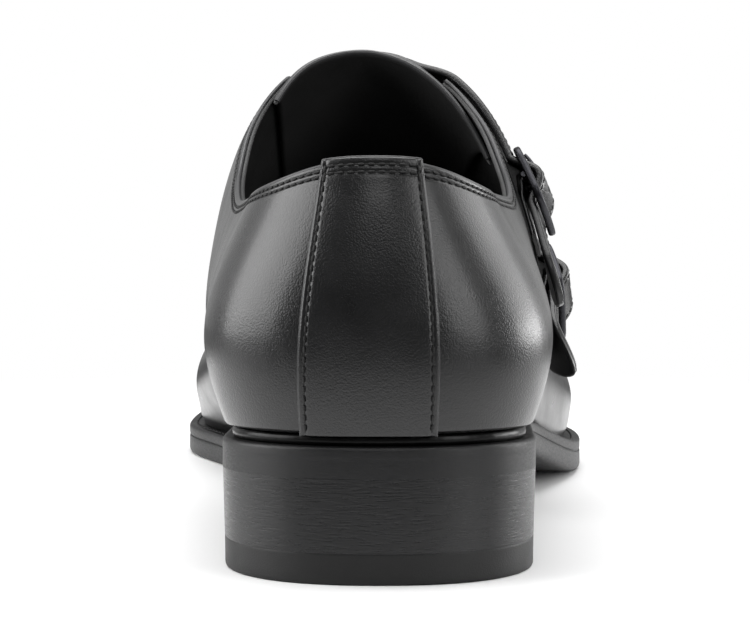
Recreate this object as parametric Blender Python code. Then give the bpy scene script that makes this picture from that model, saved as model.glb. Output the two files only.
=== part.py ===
"""Right-foot double monk strap dress shoe, as separate solids.

All lengths are in millimetres until a mesh is written. x runs to the outer (lateral) side, y from the
back of the heel to the toe, z up from the floor. Along the shoe, a place is named by its station:
0 at the back of the heel, equal to y from the heel's centre on, SOLE_LENGTH at the toe tip.
"""

import math

import bmesh
import bpy
import numpy as np
from mathutils import Matrix

MM = 0.001
CLEARANCE = 0.3

# Driving sizes of the sole
SOLE_LENGTH = 302.0
HEEL_CENTRE = 33.0
HEEL_HALF_WIDTH = 33.5
HEEL_SQUARENESS = 2.3
TOE_START = 240.0
HEEL_BREAST = 70.0
BREAST_HOLLOW = 4.0
TOP_LIFT = 6.7
LIFT_INSET = 0.4
STACK_TOP_INSET = 0.1
FLOOR_EDGE = 0.6
SOLE_FOOT_INSET = 1.2
SOLE_FOOT_RISE = 1.0
SOLE_TOP_CHAMFER = 0.5
WELT_INSET = 0.7
WELT_CHAMFER = 0.4
WELT_COVER = 6.5
INSOLE_RISE = 2.6
INSOLE_GAP = 0.4

# Driving sizes of the upper
WALL = 2.4
STRIP_TOP_CENTRE = -0.75
STRIP_FOOT_CENTRE = -2.1
STRIP_TOP_HALF_WIDTH = 11.2
STRIP_FOOT_HALF_WIDTH = 13.8
STRIP_THICKNESS = 0.9
STRIP_TOP_RISE = 0.7
TONGUE_THICKNESS = 1.6
TONGUE_GAP = 0.6
TONGUE_TOP_HALF_WIDTH = 26.0
TONGUE_EXTRA_LATERAL = 4.0
TONGUE_END_HALF_WIDTH = 20.0
TONGUE_SIDE_DROP = 14.5
TONGUE_TOP_ROUNDNESS = 2.2
TONGUE_END = 190.0
VAMP_STEP = 1.0
VAMP_POINT = 180.0
THROAT_TOP = 119.5
THROAT_LATERAL = 25.0
THROAT_MEDIAL = 17.0
THROAT_CENTRE = 106.0
QUARTER_SEAM = 170.0
SEAM_SWEEP = 34.0
SEAM_SPREAD = 45.0
SEAM_CURVE = 1.5
TOE_BOX_START = 255.0
TOE_BOX_SQUARENESS = 2.5
LATERAL = 1
MEDIAL = -1

# Colours and roughness of the finishes
BLACK_CALF = ((0.02, 0.02, 0.02), 0.32)
SOFT_CALF = ((0.02, 0.02, 0.02), 0.38)
EDGE_LEATHER = ((0.02, 0.02, 0.02), 0.42)
STACKED_LEATHER = ((0.03, 0.03, 0.03), 0.5)
INSOLE_LEATHER = ((0.03, 0.028, 0.026), 0.7)
LIFT_RUBBER = ((0.015, 0.015, 0.015), 0.55)
GUNMETAL = ((0.03, 0.03, 0.035), 0.35, 1.0)

# Centre line and half width of the sole's edge; past TOE_START the half width tapers to this value
# before the toe's circle closes it
OUTLINE = (
    # station, centre, half_width
    (33.0, 0.0, 33.5),
    (60.0, 1.0, 33.3),
    (90.0, 3.0, 32.3),
    (117.0, 5.6, 32.7),
    (150.0, 8.5, 38.0),
    (175.0, 8.3, 44.8),
    (200.0, 5.1, 50.8),
    (226.0, -0.9, 53.5),
    (240.0, -2.8, 51.3),
    (260.0, -5.0, 46.3),
    (302.0, -8.0, 35.8),
)

# Underside of the sole, thickness of sole and welt together, share of it that is welt, and how far
# the welt stands out past the foot of the upper
SOLE_SECTIONS = (
    # y, underside, thickness, welt_share, welt_margin
    (0.0, 21.9, 6.4, 0.30, 1.6),
    (33.0, 20.9, 6.4, 0.30, 1.6),
    (68.0, 19.4, 6.8, 0.32, 2.0),
    (90.0, 17.0, 7.1, 0.33, 2.3),
    (117.0, 13.3, 7.5, 0.34, 2.8),
    (150.0, 6.0, 8.1, 0.35, 3.5),
    (175.0, 1.1, 8.4, 0.35, 4.1),
    (187.0, 0.0, 8.4, 0.35, 4.4),
    (228.0, 0.0, 8.4, 0.35, 4.6),
    (250.0, 1.6, 8.3, 0.35, 4.8),
    (275.0, 5.5, 8.1, 0.35, 5.0),
    (302.0, 12.0, 8.0, 0.35, 5.0),
)

# Ridge of the last: highest line over the instep and toe. Behind the throat it is only a guide line
RIDGE = (
    # y, x, z
    (33.0, -1.6, 135.0),
    (60.0, -1.6, 132.0),
    (90.0, -1.8, 125.5),
    (110.0, -2.1, 120.8),
    (119.5, -2.3, 114.6),
    (138.0, -3.0, 99.6),
    (157.0, -4.2, 85.0),
    (180.0, -5.8, 71.0),
    (203.0, -7.2, 60.0),
    (226.0, -8.0, 52.0),
    (245.0, -8.0, 47.2),
    (262.0, -7.6, 44.2),
    (302.0, -8.0, 39.0),
)

# Shape of each cross-section: where the side is fullest (belly) and where it turns in (shoulder), as
# shares of the section's half width and height, for the outer and the inner side
SECTIONS = (
    # station, belly_lateral, belly_medial, belly_up, shoulder_lateral, shoulder_medial, shoulder_up
    (0.0, 1.10, 1.10, 0.166, 0.946, 0.946, 0.531),
    (16.5, 1.12, 1.12, 0.170, 0.80, 0.82, 0.510),
    (33.0, 1.17, 1.165, 0.175, 0.774, 0.815, 0.490),
    (60.0, 1.198, 1.235, 0.185, 0.945, 0.985, 0.479),
    (90.0, 1.165, 1.31, 0.12, 1.06, 1.20, 0.525),
    (119.5, 1.20, 1.29, 0.222, 0.955, 1.12, 0.708),
    (150.0, 1.15, 1.243, 0.27, 0.935, 0.93, 0.69),
    (185.0, 1.125, 1.178, 0.20, 0.833, 0.81, 0.70),
    (226.0, 1.09, 1.03, 0.155, 0.74, 0.75, 0.70),
    (262.0, 1.05, 1.03, 0.25, 0.74, 0.76, 0.72),
    (302.0, 1.03, 1.03, 0.30, 0.76, 0.76, 0.72),
)

# Height of the top edge of the upper
COLLAR = (
    # station, lateral, medial
    (0.0, 86.2, 86.2),
    (7.0, 85.6, 85.6),
    (13.0, 83.8, 83.8),
    (20.0, 81.5, 81.6),
    (33.0, 79.4, 79.1),
    (48.0, 78.2, 77.4),
    (65.0, 77.8, 76.9),
    (76.0, 79.9, 79.0),
    (87.0, 83.8, 82.6),
    (97.0, 89.8, 88.8),
    (106.0, 96.2, 95.6),
    (113.0, 102.8, 102.5),
    (119.5, 111.2, 111.2),
)


# ---------------------------------------------------------------- curves

def spline(keys, values, at):
    """Natural cubic spline through values at keys, read at `at`. Leading axes hold separate curves."""
    count = keys.shape[-1]
    gap = np.diff(keys, axis=-1)
    slope = np.diff(values, axis=-2) / gap[..., None]
    inner = np.arange(1, count - 1)
    system = np.zeros(keys.shape + (count,))
    system[..., 0, 0] = 1.0
    system[..., -1, -1] = 1.0
    system[..., inner, inner - 1] = gap[..., :-1]
    system[..., inner, inner] = 2.0 * (gap[..., :-1] + gap[..., 1:])
    system[..., inner, inner + 1] = gap[..., 1:]
    right = np.zeros_like(values)
    right[..., 1:-1, :] = 6.0 * np.diff(slope, axis=-2)
    bend = np.linalg.solve(system, right)
    part = (at[..., None] >= keys[..., None, 1:-1]).sum(-1)
    low = part[..., None]
    start = np.take_along_axis(keys[..., None], low, axis=-2)
    width = np.take_along_axis(gap[..., None], low, axis=-2)
    a = (at[..., None] - start) / width
    v0 = np.take_along_axis(values, low, axis=-2)
    v1 = np.take_along_axis(values, low + 1, axis=-2)
    b0 = np.take_along_axis(bend, low, axis=-2)
    b1 = np.take_along_axis(bend, low + 1, axis=-2)
    sag = ((1 - a) ** 3 - (1 - a)) * b0 + (a ** 3 - a) * b1
    return (1 - a) * v0 + a * v1 + sag * width ** 2 / 6.0


def columns(table, at):
    """The columns of a table after its first, as smooth curves read at `at`.

    A table that starts at the back of the heel is mirrored there, so that it runs level across it.
    """
    rows = np.array(table)
    if rows[0, 0] == 0.0:
        mirrored = rows[2:0:-1] * np.where(np.arange(rows.shape[1]) == 0, -1.0, 1.0)
        rows = np.concatenate([mirrored, rows])
    at = np.asarray(at, dtype=float)
    return np.moveaxis(spline(rows[:, 0], rows[:, 1:], at.ravel()).reshape(at.shape + (-1,)), -1, 0)


# ---------------------------------------------------------------- the sole's form

def plan(station, side, inset):
    """Plan point of the sole's edge on one side, moved in by inset."""
    centre, taper = columns(OUTLINE, np.maximum(station, HEEL_CENTRE))
    turn = 0.5 * math.pi * np.minimum(station, HEEL_CENTRE) / HEEL_CENTRE
    across = np.sin(turn) / (HEEL_HALF_WIDTH - inset)
    along = np.cos(turn) / (HEEL_CENTRE - inset)
    reach = (across ** HEEL_SQUARENESS + along ** HEEL_SQUARENESS) ** (-1.0 / HEEL_SQUARENESS)
    toe_length = SOLE_LENGTH - TOE_START
    closing = np.clip((station - TOE_START) / toe_length, 0.0, 1.0)
    half = (taper - inset) * np.sqrt(1.0 - closing ** 2)
    in_heel = station < HEEL_CENTRE
    x = np.where(in_heel, side * reach * np.sin(turn), centre + side * half)
    y = np.where(in_heel, HEEL_CENTRE - reach * np.cos(turn), station - closing * inset)
    return x, y


def underside(y):
    """Height of the outsole's lower face, flat on the floor under the ball of the foot."""
    return np.maximum(columns(SOLE_SECTIONS, y)[0], 0.0)


def outsole_top(y):
    """Height of the outsole's upper face."""
    _, thick, share, _ = columns(SOLE_SECTIONS, y)
    return underside(y) + thick * (1.0 - share)


def welt_top(y):
    """Height of the welt's upper face."""
    return underside(y) + columns(SOLE_SECTIONS, y)[1]


# ---------------------------------------------------------------- the last's form

def upper_surface(station, v, side):
    """Outer face of the upper. v is 0 at its foot and 1 on the ridge; side is LATERAL or MEDIAL.

    Each section is a smooth arch through foot, belly and shoulder of this side, the ridge, and
    shoulder, belly and foot of the other side. From the heel's centre on the sections lie across
    the shoe; behind it they turn about the heel's centre.
    """
    station, v = np.broadcast_arrays(np.asarray(station, float), np.asarray(v, float))
    shape = station.shape
    station, v = station.ravel(), v.ravel()
    centre, _ = columns(OUTLINE, np.maximum(station, HEEL_CENTRE))
    margin = columns(SOLE_SECTIONS, station)[3]
    foot_x, foot_y = plan(station, side, margin)
    in_heel = station < HEEL_CENTRE
    half = np.where(in_heel, np.hypot(foot_x, foot_y - HEEL_CENTRE), np.abs(foot_x - centre))
    foot_z = welt_top(foot_y) + CLEARANCE
    ridge_x, ridge_z = columns(RIDGE, np.maximum(foot_y, HEEL_CENTRE))
    closing = np.clip((station - TOE_BOX_START) / (SOLE_LENGTH - TOE_BOX_START), 0.0, 1.0)
    closing = (1.0 - closing ** TOE_BOX_SQUARENESS) ** (1.0 / TOE_BOX_SQUARENESS)
    height = (ridge_z - foot_z) * closing
    belly_l, belly_m, belly_up, shoulder_l, shoulder_m, shoulder_up = columns(SECTIONS, station)
    own = (belly_l, shoulder_l) if side == LATERAL else (belly_m, shoulder_m)
    other = (belly_m, shoulder_m) if side == LATERAL else (belly_l, shoulder_l)
    one = np.ones_like(half)
    out = np.stack([one, own[0], own[1], 0 * one, -other[1], -other[0], -one], axis=-1)
    up = np.stack([0 * one, belly_up, shoulder_up, one, shoulder_up, belly_up, 0 * one], axis=-1)
    scale = np.maximum(half, 1e-6)[:, None]
    tall = np.maximum(height, 1e-6)[:, None]
    points = np.stack([out * scale, up * tall], axis=-1)
    keys = np.cumsum(np.hypot(*np.moveaxis(np.diff(points, axis=1), -1, 0)), axis=1)
    keys = np.concatenate([np.zeros_like(scale), keys], axis=1)
    arch = spline(keys, points, (v * keys[:, 3])[:, None])[:, 0]
    reach, rise = arch[:, 0], arch[:, 1]
    turn = 0.5 * math.pi * np.minimum(station, HEEL_CENTRE) / HEEL_CENTRE
    lean = (ridge_x - np.where(in_heel, 0.0, centre)) * rise / tall[:, 0]
    x = np.where(in_heel, side * reach * np.sin(turn), centre + side * reach) + lean
    y = np.where(in_heel, HEEL_CENTRE - reach * np.cos(turn), foot_y)
    return np.stack([x, y, foot_z + rise], axis=-1).reshape(shape + (3,))


def upper_normal(station, v, side):
    """Outward normal of the upper's outer face."""
    step_s, step_v = 0.05, 0.002
    station, v = np.broadcast_arrays(np.asarray(station, float), np.asarray(v, float))
    s0 = np.clip(station - step_s, 0.0, SOLE_LENGTH - 2 * step_s)
    v0 = np.clip(v - step_v, 0.0, 1.0)
    along = upper_surface(s0 + 2 * step_s, v, side) - upper_surface(s0, v, side)
    v1 = np.clip(v + step_v, 0.0, 1.0)
    held = np.minimum(station, SOLE_LENGTH - step_s)
    around = upper_surface(held, v1, side) - upper_surface(held, v0, side)
    normal = np.cross(along, around) * side
    normal /= np.linalg.norm(normal, axis=-1, keepdims=True)
    forward = np.array([0.0, 1.0, 0.0])
    return np.where((station >= SOLE_LENGTH)[..., None], forward, normal)


def upper_offset(station, v, side, height):
    """Point that stands `height` outside the upper's outer face."""
    return upper_surface(station, v, side) + height * upper_normal(station, v, side)


# ---------------------------------------------------------------- places on the last

SAMPLES = np.linspace(0.0, 1.0, 121)


def last_crossing(above):
    """For rows of samples that fall from positive to negative, v where each last crosses zero."""
    index = np.clip((above > 0.0).cumsum(axis=1).argmax(axis=1), 0, above.shape[1] - 2)
    row = np.arange(len(above))
    high, low = above[row, index], above[row, index + 1]
    share = np.where(high > 0.0, high / np.maximum(high - low, 1e-9), 0.0)
    return np.where(above[:, -1] > 0.0, 1.0, SAMPLES[index] + share * (SAMPLES[1] - SAMPLES[0]))


def v_at_height(station, side, z):
    """v where the section at each station reaches height z."""
    heights = upper_surface(station[:, None], SAMPLES[None], side)[..., 2]
    return last_crossing(z[:, None] - heights)


def v_at_reach(station, side, reach):
    """v where the section at each station comes in to a distance `reach` from the ridge line."""
    section = upper_surface(station[:, None], SAMPLES[None], side)
    out = np.abs(section[..., 0] - section[:, -1:, 0])
    return last_crossing(out - reach[:, None])


def top_edge(station, side):
    """v of the upper's top edge: the collar, and past it the side of the throat under the straps."""
    collar = columns(COLLAR, np.minimum(station, THROAT_TOP))[0 if side == LATERAL else 1]
    edge = v_at_height(station, side, np.where(station < THROAT_TOP, collar, 1000.0))
    widest = THROAT_LATERAL if side == LATERAL else THROAT_MEDIAL
    along = np.clip((station - THROAT_CENTRE) / (VAMP_POINT - THROAT_CENTRE), 0.0, 1.0)
    throat = v_at_reach(station, side, widest * np.sqrt(1.0 - along ** 2))
    return np.where(station < HEEL_CENTRE, edge, np.minimum(edge, throat))


# ---------------------------------------------------------------- straps and buckles

# Route of each strap's middle, from the inner side of the throat over the ridge to its tip
UPPER_ROUTE = (
    # share, station, across
    (0.00, 130.5, -0.220),
    (0.30, 128.0, 0.020),
    (0.60, 118.0, 0.290),
    (0.80, 106.8, 0.475),
    (1.00, 91.0, 0.680),
    (1.20, 74.4, 0.885),
)
LOWER_ROUTE = (
    # share, station, across
    (0.00, 156.0, -0.210),
    (0.30, 154.0, 0.050),
    (0.60, 143.0, 0.400),
    (0.80, 129.0, 0.665),
    (1.00, 110.5, 0.850),
    (1.12, 99.1, 0.952),
)
STRAP_HALF_WIDTH = 7.0
STRAP_THICKNESS = 1.9
TIP_LENGTH = 9.0
TIP_SHARPNESS = 1.7
TIP_SPRING = 2.6
PRONG_SLOT = (-3.6, 1.0)
PRONG_SLOT_HALF_WIDTH = 1.25

# Height of the strap's lower face over the upper, by distance from the buckle's bar
STRAP_LIFT = (
    # from_bar, lift
    (-13.0, 0.5),
    (-7.5, 0.5),
    (0.0, 5.6),
    (7.5, 1.7),
    (13.0, 1.7),
)

# A strap: its route, the share of the route at which it meets the buckle's bar, how far its tip
# reaches past the bar, and how far the tip springs up from the shoe
UPPER_STRAP = (UPPER_ROUTE, 0.826, 32.0, 1.6)
LOWER_STRAP = (LOWER_ROUTE, 0.799, 27.3, 7.5)

HUMP_ROWS = (-10.0, -7.5, -6.0, -4.8, -3.6, -2.4, -1.2, 0.0, 1.0, 2.4, 3.8, 5.2, 7.5, 10.5)

START_GAP = 0.5
RISE_BEFORE_EDGE = 1.5
STRAP_SUNK = 2.4
STRAP_RISING = 9.0
STRAP_LANES = (-1.0, -0.55, -PRONG_SLOT_HALF_WIDTH / STRAP_HALF_WIDTH,
               PRONG_SLOT_HALF_WIDTH / STRAP_HALF_WIDTH, 0.55, 1.0)

FRAME_HALF_LENGTH = 8.0
FRAME_HALF_WIDTH = 8.4
FRAME_CORNER = 3.0
FRAME_SECTION = (1.05, 0.9)
FRAME_FRONT_HEIGHT = 3.7
FRAME_BACK_HEIGHT = 4.9
BAR_HEIGHT = 3.3
BAR_RADIUS = 0.8
PRONG_RADII = (0.5, 0.38)
PRONG_CURL_GAP = 0.2
TAB_HALF_WIDTH = 5.0
TAB_THICKNESS = 0.85
TAB_SLOT_HALF_WIDTH = 0.85

# Side view of the prong in front of the curl that holds it on the bar
PRONG_LINE = (
    # along, height
    (-1.5, 5.45),
    (-3.0, 6.1),
    (-5.8, 5.9),
    (-8.0, 5.5),
    (-9.7, 5.0),
)

# Side view of the tab's tail, from its sewn end to where it curls round the bar
TAB_TAIL = (
    # along, height
    (15.0, 0.80),
    (9.0, 0.80),
    (5.5, 0.80),
    (3.2, 0.95),
    (1.6, 1.40),
)


def eased(table, at):
    """Second column of a table, easing level to level with no slope at its rows."""
    rows = np.array(table)
    place = np.interp(at, rows[:, 0], np.arange(len(rows)))
    low = np.minimum(place.astype(int), len(rows) - 2)
    share = place - low
    share = share * share * (3.0 - 2.0 * share)
    return rows[low, 1] * (1.0 - share) + rows[low + 1, 1] * share


def over_ridge(station, across, height):
    """Point `height` above the upper's face; across is 0 on the ridge, 1 at the lateral foot and -1
    at the medial foot."""
    v = 1.0 - np.abs(across)
    lateral = upper_offset(station, v, LATERAL, height[..., None])
    medial = upper_offset(station, v, MEDIAL, height[..., None])
    return np.where((across >= 0.0)[..., None], lateral, medial)


def route_places(strap):
    """Distances from the buckle's bar along a strap's route, with the station and across there."""
    route, bar_share = strap[:2]
    share = np.linspace(0.0, route[-1][0], 289)
    station, across = columns(route, share)
    middle = over_ridge(station, across, np.zeros_like(station))
    steps = np.linalg.norm(np.diff(middle, axis=0), axis=1)
    distance = np.concatenate([[0.0], np.cumsum(steps)])
    return distance - np.interp(bar_share, share, distance), station, across


def strap_place(strap, along, sideways):
    """Station and across of a place given along a strap's route and sideways from its middle line."""
    distance, stations, acrosses = route_places(strap)
    station = np.interp(along, distance, stations)
    across = np.interp(along, distance, acrosses)
    flat = np.zeros_like(station)
    step_s, step_a = 0.2, 0.004
    here = over_ridge(station, across, flat)
    by_station = (over_ridge(station + step_s, across, flat) - here) / step_s
    by_across = (over_ridge(station, across + step_a, flat) - here) / step_a
    ends = [
        over_ridge(np.interp(place, distance, stations), np.interp(place, distance, acrosses), flat)
        for place in (along + 0.5, along - 0.5)
    ]
    side_way = np.cross(np.cross(by_station, by_across), ends[0] - ends[1])
    side_way /= np.linalg.norm(side_way, axis=-1, keepdims=True)
    ss = (by_station * by_station).sum(-1)
    sa = (by_station * by_across).sum(-1)
    aa = (by_across * by_across).sum(-1)
    s_side = (by_station * side_way).sum(-1)
    a_side = (by_across * side_way).sum(-1)
    det = ss * aa - sa * sa
    station = station + sideways * (s_side * aa - a_side * sa) / det
    across = across + sideways * (a_side * ss - s_side * sa) / det
    return station, across


def strap_space(strap, along, sideways, height):
    """Point in a strap's own space: along its route from the bar, sideways from its middle line, and
    height over the upper. Straps, tabs, frames and prongs all lie in it, so they clear each other."""
    along, sideways, height = np.broadcast_arrays(along, sideways, height)
    station, across = strap_place(strap, along, sideways)
    return over_ridge(station, across, height)


def past_edge(strap, side, sideways, gap):
    """Distance along a strap's route where it lies `gap` past the throat's edge on one side."""
    near = np.linspace(route_places(strap)[0][0] + 1.0, -20.0, 281)
    station, across = strap_place(strap, near, np.full_like(near, sideways))
    open_to = side * (1.0 - top_edge(station, side))
    return near[np.argmax(across > open_to)] + gap


# ---------------------------------------------------------------- making solids

def make_object(name, corners, faces, finish):
    """One closed object from corners in millimetres, with doubles merged and its own material.

    finish holds colour and roughness, and for a metal its metallic value.
    """
    mesh = bpy.data.meshes.new(name)
    mesh.from_pydata([tuple(corner) for corner in np.asarray(corners) * MM], [], faces)
    shape = bmesh.new()
    shape.from_mesh(mesh)
    bmesh.ops.remove_doubles(shape, verts=shape.verts, dist=0.02 * MM)
    bmesh.ops.dissolve_degenerate(shape, edges=shape.edges, dist=0.001 * MM)
    bmesh.ops.recalc_face_normals(shape, faces=shape.faces)
    shape.to_mesh(mesh)
    shape.free()
    mesh.shade_smooth()
    mesh.set_sharp_from_angle(angle=math.radians(40.0))
    material = bpy.data.materials.new(name)
    material.use_nodes = True
    shader = material.node_tree.nodes["Principled BSDF"]
    shader.inputs["Base Color"].default_value = (*finish[0], 1.0)
    shader.inputs["Roughness"].default_value = finish[1]
    shader.inputs["Metallic"].default_value = finish[2] if len(finish) > 2 else 0.0
    mesh.materials.append(material)
    made = bpy.data.objects.new(name, mesh)
    bpy.context.scene.collection.objects.link(made)
    return made


def sheet_solid(outer, inner, kept=None, joined=None):
    """Corners and faces of a sheet between two grids of points.

    kept marks the quads that are there, so that holes can be left; joined marks border edges on the
    last row that need no wall because the sheet meets itself there.
    """
    rows, cols = outer.shape[:2]
    kept = np.ones((rows - 1, cols - 1), bool) if kept is None else kept
    base = rows * cols
    faces = []

    def there(i, j):
        return 0 <= i < rows - 1 and 0 <= j < cols - 1 and kept[i, j]

    for i in range(rows - 1):
        for j in range(cols - 1):
            if not kept[i, j]:
                continue
            a, b, c, d = i * cols + j, (i + 1) * cols + j, (i + 1) * cols + j + 1, i * cols + j + 1
            faces.append((a, b, c, d))
            faces.append((base + d, base + c, base + b, base + a))
            borders = (
                (a, b, there(i, j - 1)),
                (b, c, there(i + 1, j)),
                (c, d, there(i, j + 1) or (j == cols - 2 and joined is not None and joined[i])),
                (d, a, there(i - 1, j)),
            )
            for start, end, closed in borders:
                if not closed:
                    faces.append((start, base + start, base + end, end))
    return np.concatenate([outer.reshape(-1, 3), inner.reshape(-1, 3)]), faces


def level_solid(stations, levels, breast=0.0):
    """Corners and faces of a solid built up in levels, each a plan outline at its own heights.

    levels holds (inset, height) pairs from the bottom up; height is a function of y. breast hollows
    the front end.
    """
    across = np.linspace(-1.0, 1.0, 7)
    grids = []
    for inset, height in levels:
        outer_x, y = plan(stations, LATERAL, inset)
        inner_x, _ = plan(stations, MEDIAL, inset)
        middle, half = 0.5 * (outer_x + inner_x), 0.5 * (outer_x - inner_x)
        x = middle[:, None] + half[:, None] * across
        y = y[:, None] - breast * (stations[:, None] / stations[-1]) ** 4 * (1.0 - across ** 2)
        grids.append(np.stack([x, y, height(y)], axis=-1))
    rows, cols = grids[0].shape[:2]
    size = rows * cols
    ring = [(i, cols - 1) for i in range(rows)] + [(rows - 1, j) for j in range(cols - 2, 0, -1)]
    ring += [(i, 0) for i in range(rows - 1, 0, -1)]
    ring = [i * cols + j for i, j in ring]
    faces = []
    top = (len(levels) - 1) * size
    for i in range(rows - 1):
        for j in range(cols - 1):
            a, b, c, d = i * cols + j, (i + 1) * cols + j, (i + 1) * cols + j + 1, i * cols + j + 1
            faces.append((a, b, c, d))
            faces.append((top + d, top + c, top + b, top + a))
    for level in range(len(levels) - 1):
        low, high = level * size, (level + 1) * size
        for start, end in zip(ring, ring[1:] + ring[:1]):
            faces.append((low + start, low + end, high + end, high + start))
    used = sorted({corner for face in faces for corner in face})
    place = {corner: index for index, corner in enumerate(used)}
    corners = np.concatenate([grid.reshape(-1, 3) for grid in grids])[used]
    return corners, [tuple(place[corner] for corner in face) for face in faces]


def along_sole(heel_count, middle_count, toe_count):
    """Stations from heel to toe, closer together where the toe rounds."""
    heel = np.linspace(0.0, HEEL_CENTRE, heel_count, endpoint=False)
    middle = np.linspace(HEEL_CENTRE, TOE_START, middle_count, endpoint=False)
    turn = np.linspace(0.0, 0.5 * math.pi, toe_count)
    return np.concatenate([heel, middle, TOE_START + (SOLE_LENGTH - TOE_START) * np.sin(turn)])


# ---------------------------------------------------------------- the pieces

def build_heel():
    """Top lift and heel block under the seat."""
    stations = np.concatenate([
        np.linspace(0.0, HEEL_CENTRE, 9, endpoint=False),
        np.linspace(HEEL_CENTRE, HEEL_BREAST, 6),
    ])
    lift = level_solid(stations, [
        (LIFT_INSET + FLOOR_EDGE, np.zeros_like),
        (LIFT_INSET, lambda y: np.full_like(y, FLOOR_EDGE)),
        (LIFT_INSET, lambda y: np.full_like(y, TOP_LIFT - CLEARANCE)),
    ], BREAST_HOLLOW)
    make_object("top_lift", *lift, LIFT_RUBBER)
    block = level_solid(stations, [
        (LIFT_INSET, lambda y: np.full_like(y, TOP_LIFT)),
        (STACK_TOP_INSET, lambda y: underside(y) - CLEARANCE),
    ], BREAST_HOLLOW)
    make_object("heel_stack", *block, STACKED_LEATHER)


def build_outsole():
    """The long sole, with a broken edge above and below."""
    sole = level_solid(along_sole(9, 19, 8), [
        (SOLE_FOOT_INSET, underside),
        (0.0, lambda y: underside(y) + SOLE_FOOT_RISE),
        (0.0, lambda y: outsole_top(y) - SOLE_TOP_CHAMFER),
        (SOLE_TOP_CHAMFER, outsole_top),
    ])
    make_object("outsole", *sole, EDGE_LEATHER)


def build_welt():
    """The welt: a flat strip all round, between the outsole and the upper."""
    stations = along_sole(9, 19, 8)
    margin = columns(SOLE_SECTIONS, stations)[3]
    heights = (
        (WELT_INSET, lambda y: outsole_top(y) + CLEARANCE),
        (WELT_INSET, lambda y: welt_top(y) - WELT_CHAMFER),
        (WELT_INSET + WELT_CHAMFER, welt_top),
        (margin + WELT_COVER, welt_top),
        (margin + WELT_COVER, lambda y: outsole_top(y) + CLEARANCE),
    )
    loops = []
    for inset, height in heights:
        lateral_x, y = plan(stations, LATERAL, inset)
        medial_x, _ = plan(stations, MEDIAL, inset)
        x = np.concatenate([lateral_x, medial_x[-2:0:-1]])
        y = np.concatenate([y, y[-2:0:-1]])
        loops.append(np.stack([x, y, height(y)], axis=-1))
    count, size = len(loops), len(loops[0])
    faces = []
    for ring in range(count):
        for i in range(size):
            low, high = ring * size, (ring + 1) % count * size
            faces.append((low + i, low + (i + 1) % size, high + (i + 1) % size, high + i))
    make_object("welt", np.concatenate(loops), faces, EDGE_LEATHER)


def build_insole():
    """Stepped insole: its lower part fills the welt, its upper part lies inside the upper's wall."""
    stations = along_sole(8, 15, 7)
    margin = columns(SOLE_SECTIONS, stations)[3]
    inside_welt = margin + WELT_COVER + CLEARANCE
    inside_wall = margin + WALL + INSOLE_GAP
    insole = level_solid(stations, [
        (inside_welt, lambda y: outsole_top(y) + CLEARANCE),
        (inside_welt, lambda y: welt_top(y) + CLEARANCE),
        (inside_wall + INSOLE_GAP, lambda y: welt_top(y) + CLEARANCE),
        (inside_wall, lambda y: welt_top(y) + INSOLE_RISE),
    ])
    make_object("insole", *insole, INSOLE_LEATHER)


def upper_columns():
    """Stations of the upper's grid along its top edge and along its foot.

    They part ways around the seam where the quarters end, so that one column lies along it.
    """
    heel = np.linspace(0.0, HEEL_CENTRE, 8, endpoint=False)
    quarter = np.linspace(HEEL_CENTRE, QUARTER_SEAM, 16)
    vamp = QUARTER_SEAM + (VAMP_POINT - QUARTER_SEAM) * np.array([0.03, 0.45, 0.75, 0.93])
    front = np.linspace(VAMP_POINT, TOE_START, 7, endpoint=False)
    toe = TOE_START + (SOLE_LENGTH - TOE_START) * np.sin(np.linspace(0.0, 0.5 * math.pi, 9))
    top = np.concatenate([heel, quarter, vamp, front, toe])
    foot = top - SEAM_SWEEP * np.exp(-(((top - QUARTER_SEAM) / SEAM_SPREAD) ** 2))
    foot[0], foot[-1] = top[0], top[-1]
    return top, foot


def build_upper():
    """Vamp and quarters as one lasted shell, open at the collar, the throat and underneath."""
    top, foot = upper_columns()
    rise = np.linspace(0.0, 1.0, 13)
    step = np.where(top <= QUARTER_SEAM, 0.0, -VAMP_STEP)[:, None, None]
    corners, faces, start = [], [], 0
    sides = {}
    for side in (LATERAL, MEDIAL):
        edge = top_edge(top, side)
        station = foot[:, None] + (top - foot)[:, None] * rise[None] ** SEAM_CURVE
        v = edge[:, None] * rise[None]
        outer = upper_offset(station, v, side, step)
        inner = upper_offset(station, v, side, -WALL)
        inner[:, 0, 2] = outer[:, 0, 2]
        sides[side] = (outer, inner, edge)
    closed = sides[LATERAL][2] >= 1.0
    for layer in (0, 1):
        ridge = 0.5 * (sides[LATERAL][layer][:, -1] + sides[MEDIAL][layer][:, -1])
        for side in (LATERAL, MEDIAL):
            sides[side][layer][closed, -1] = ridge[closed]
    for side in (LATERAL, MEDIAL):
        outer, inner, _ = sides[side]
        points, quads = sheet_solid(outer, inner, joined=closed[:-1])
        keep = [quad for quad in quads if not is_end_wall(quad, outer.shape)]
        corners.append(points)
        faces += [tuple(start + corner for corner in quad) for quad in keep]
        start += len(points)
    return make_object("upper", np.concatenate(corners), faces, BLACK_CALF)


def is_end_wall(quad, shape):
    """Whether a face of a side of the upper walls off the heel's or the toe's centre line."""
    rows, cols = shape[:2]
    places = [corner % (rows * cols) // cols for corner in quad]
    crosses = {corner // (rows * cols) for corner in quad} == {0, 1}
    return crosses and (set(places) == {0} or set(places) == {rows - 1})


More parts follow.
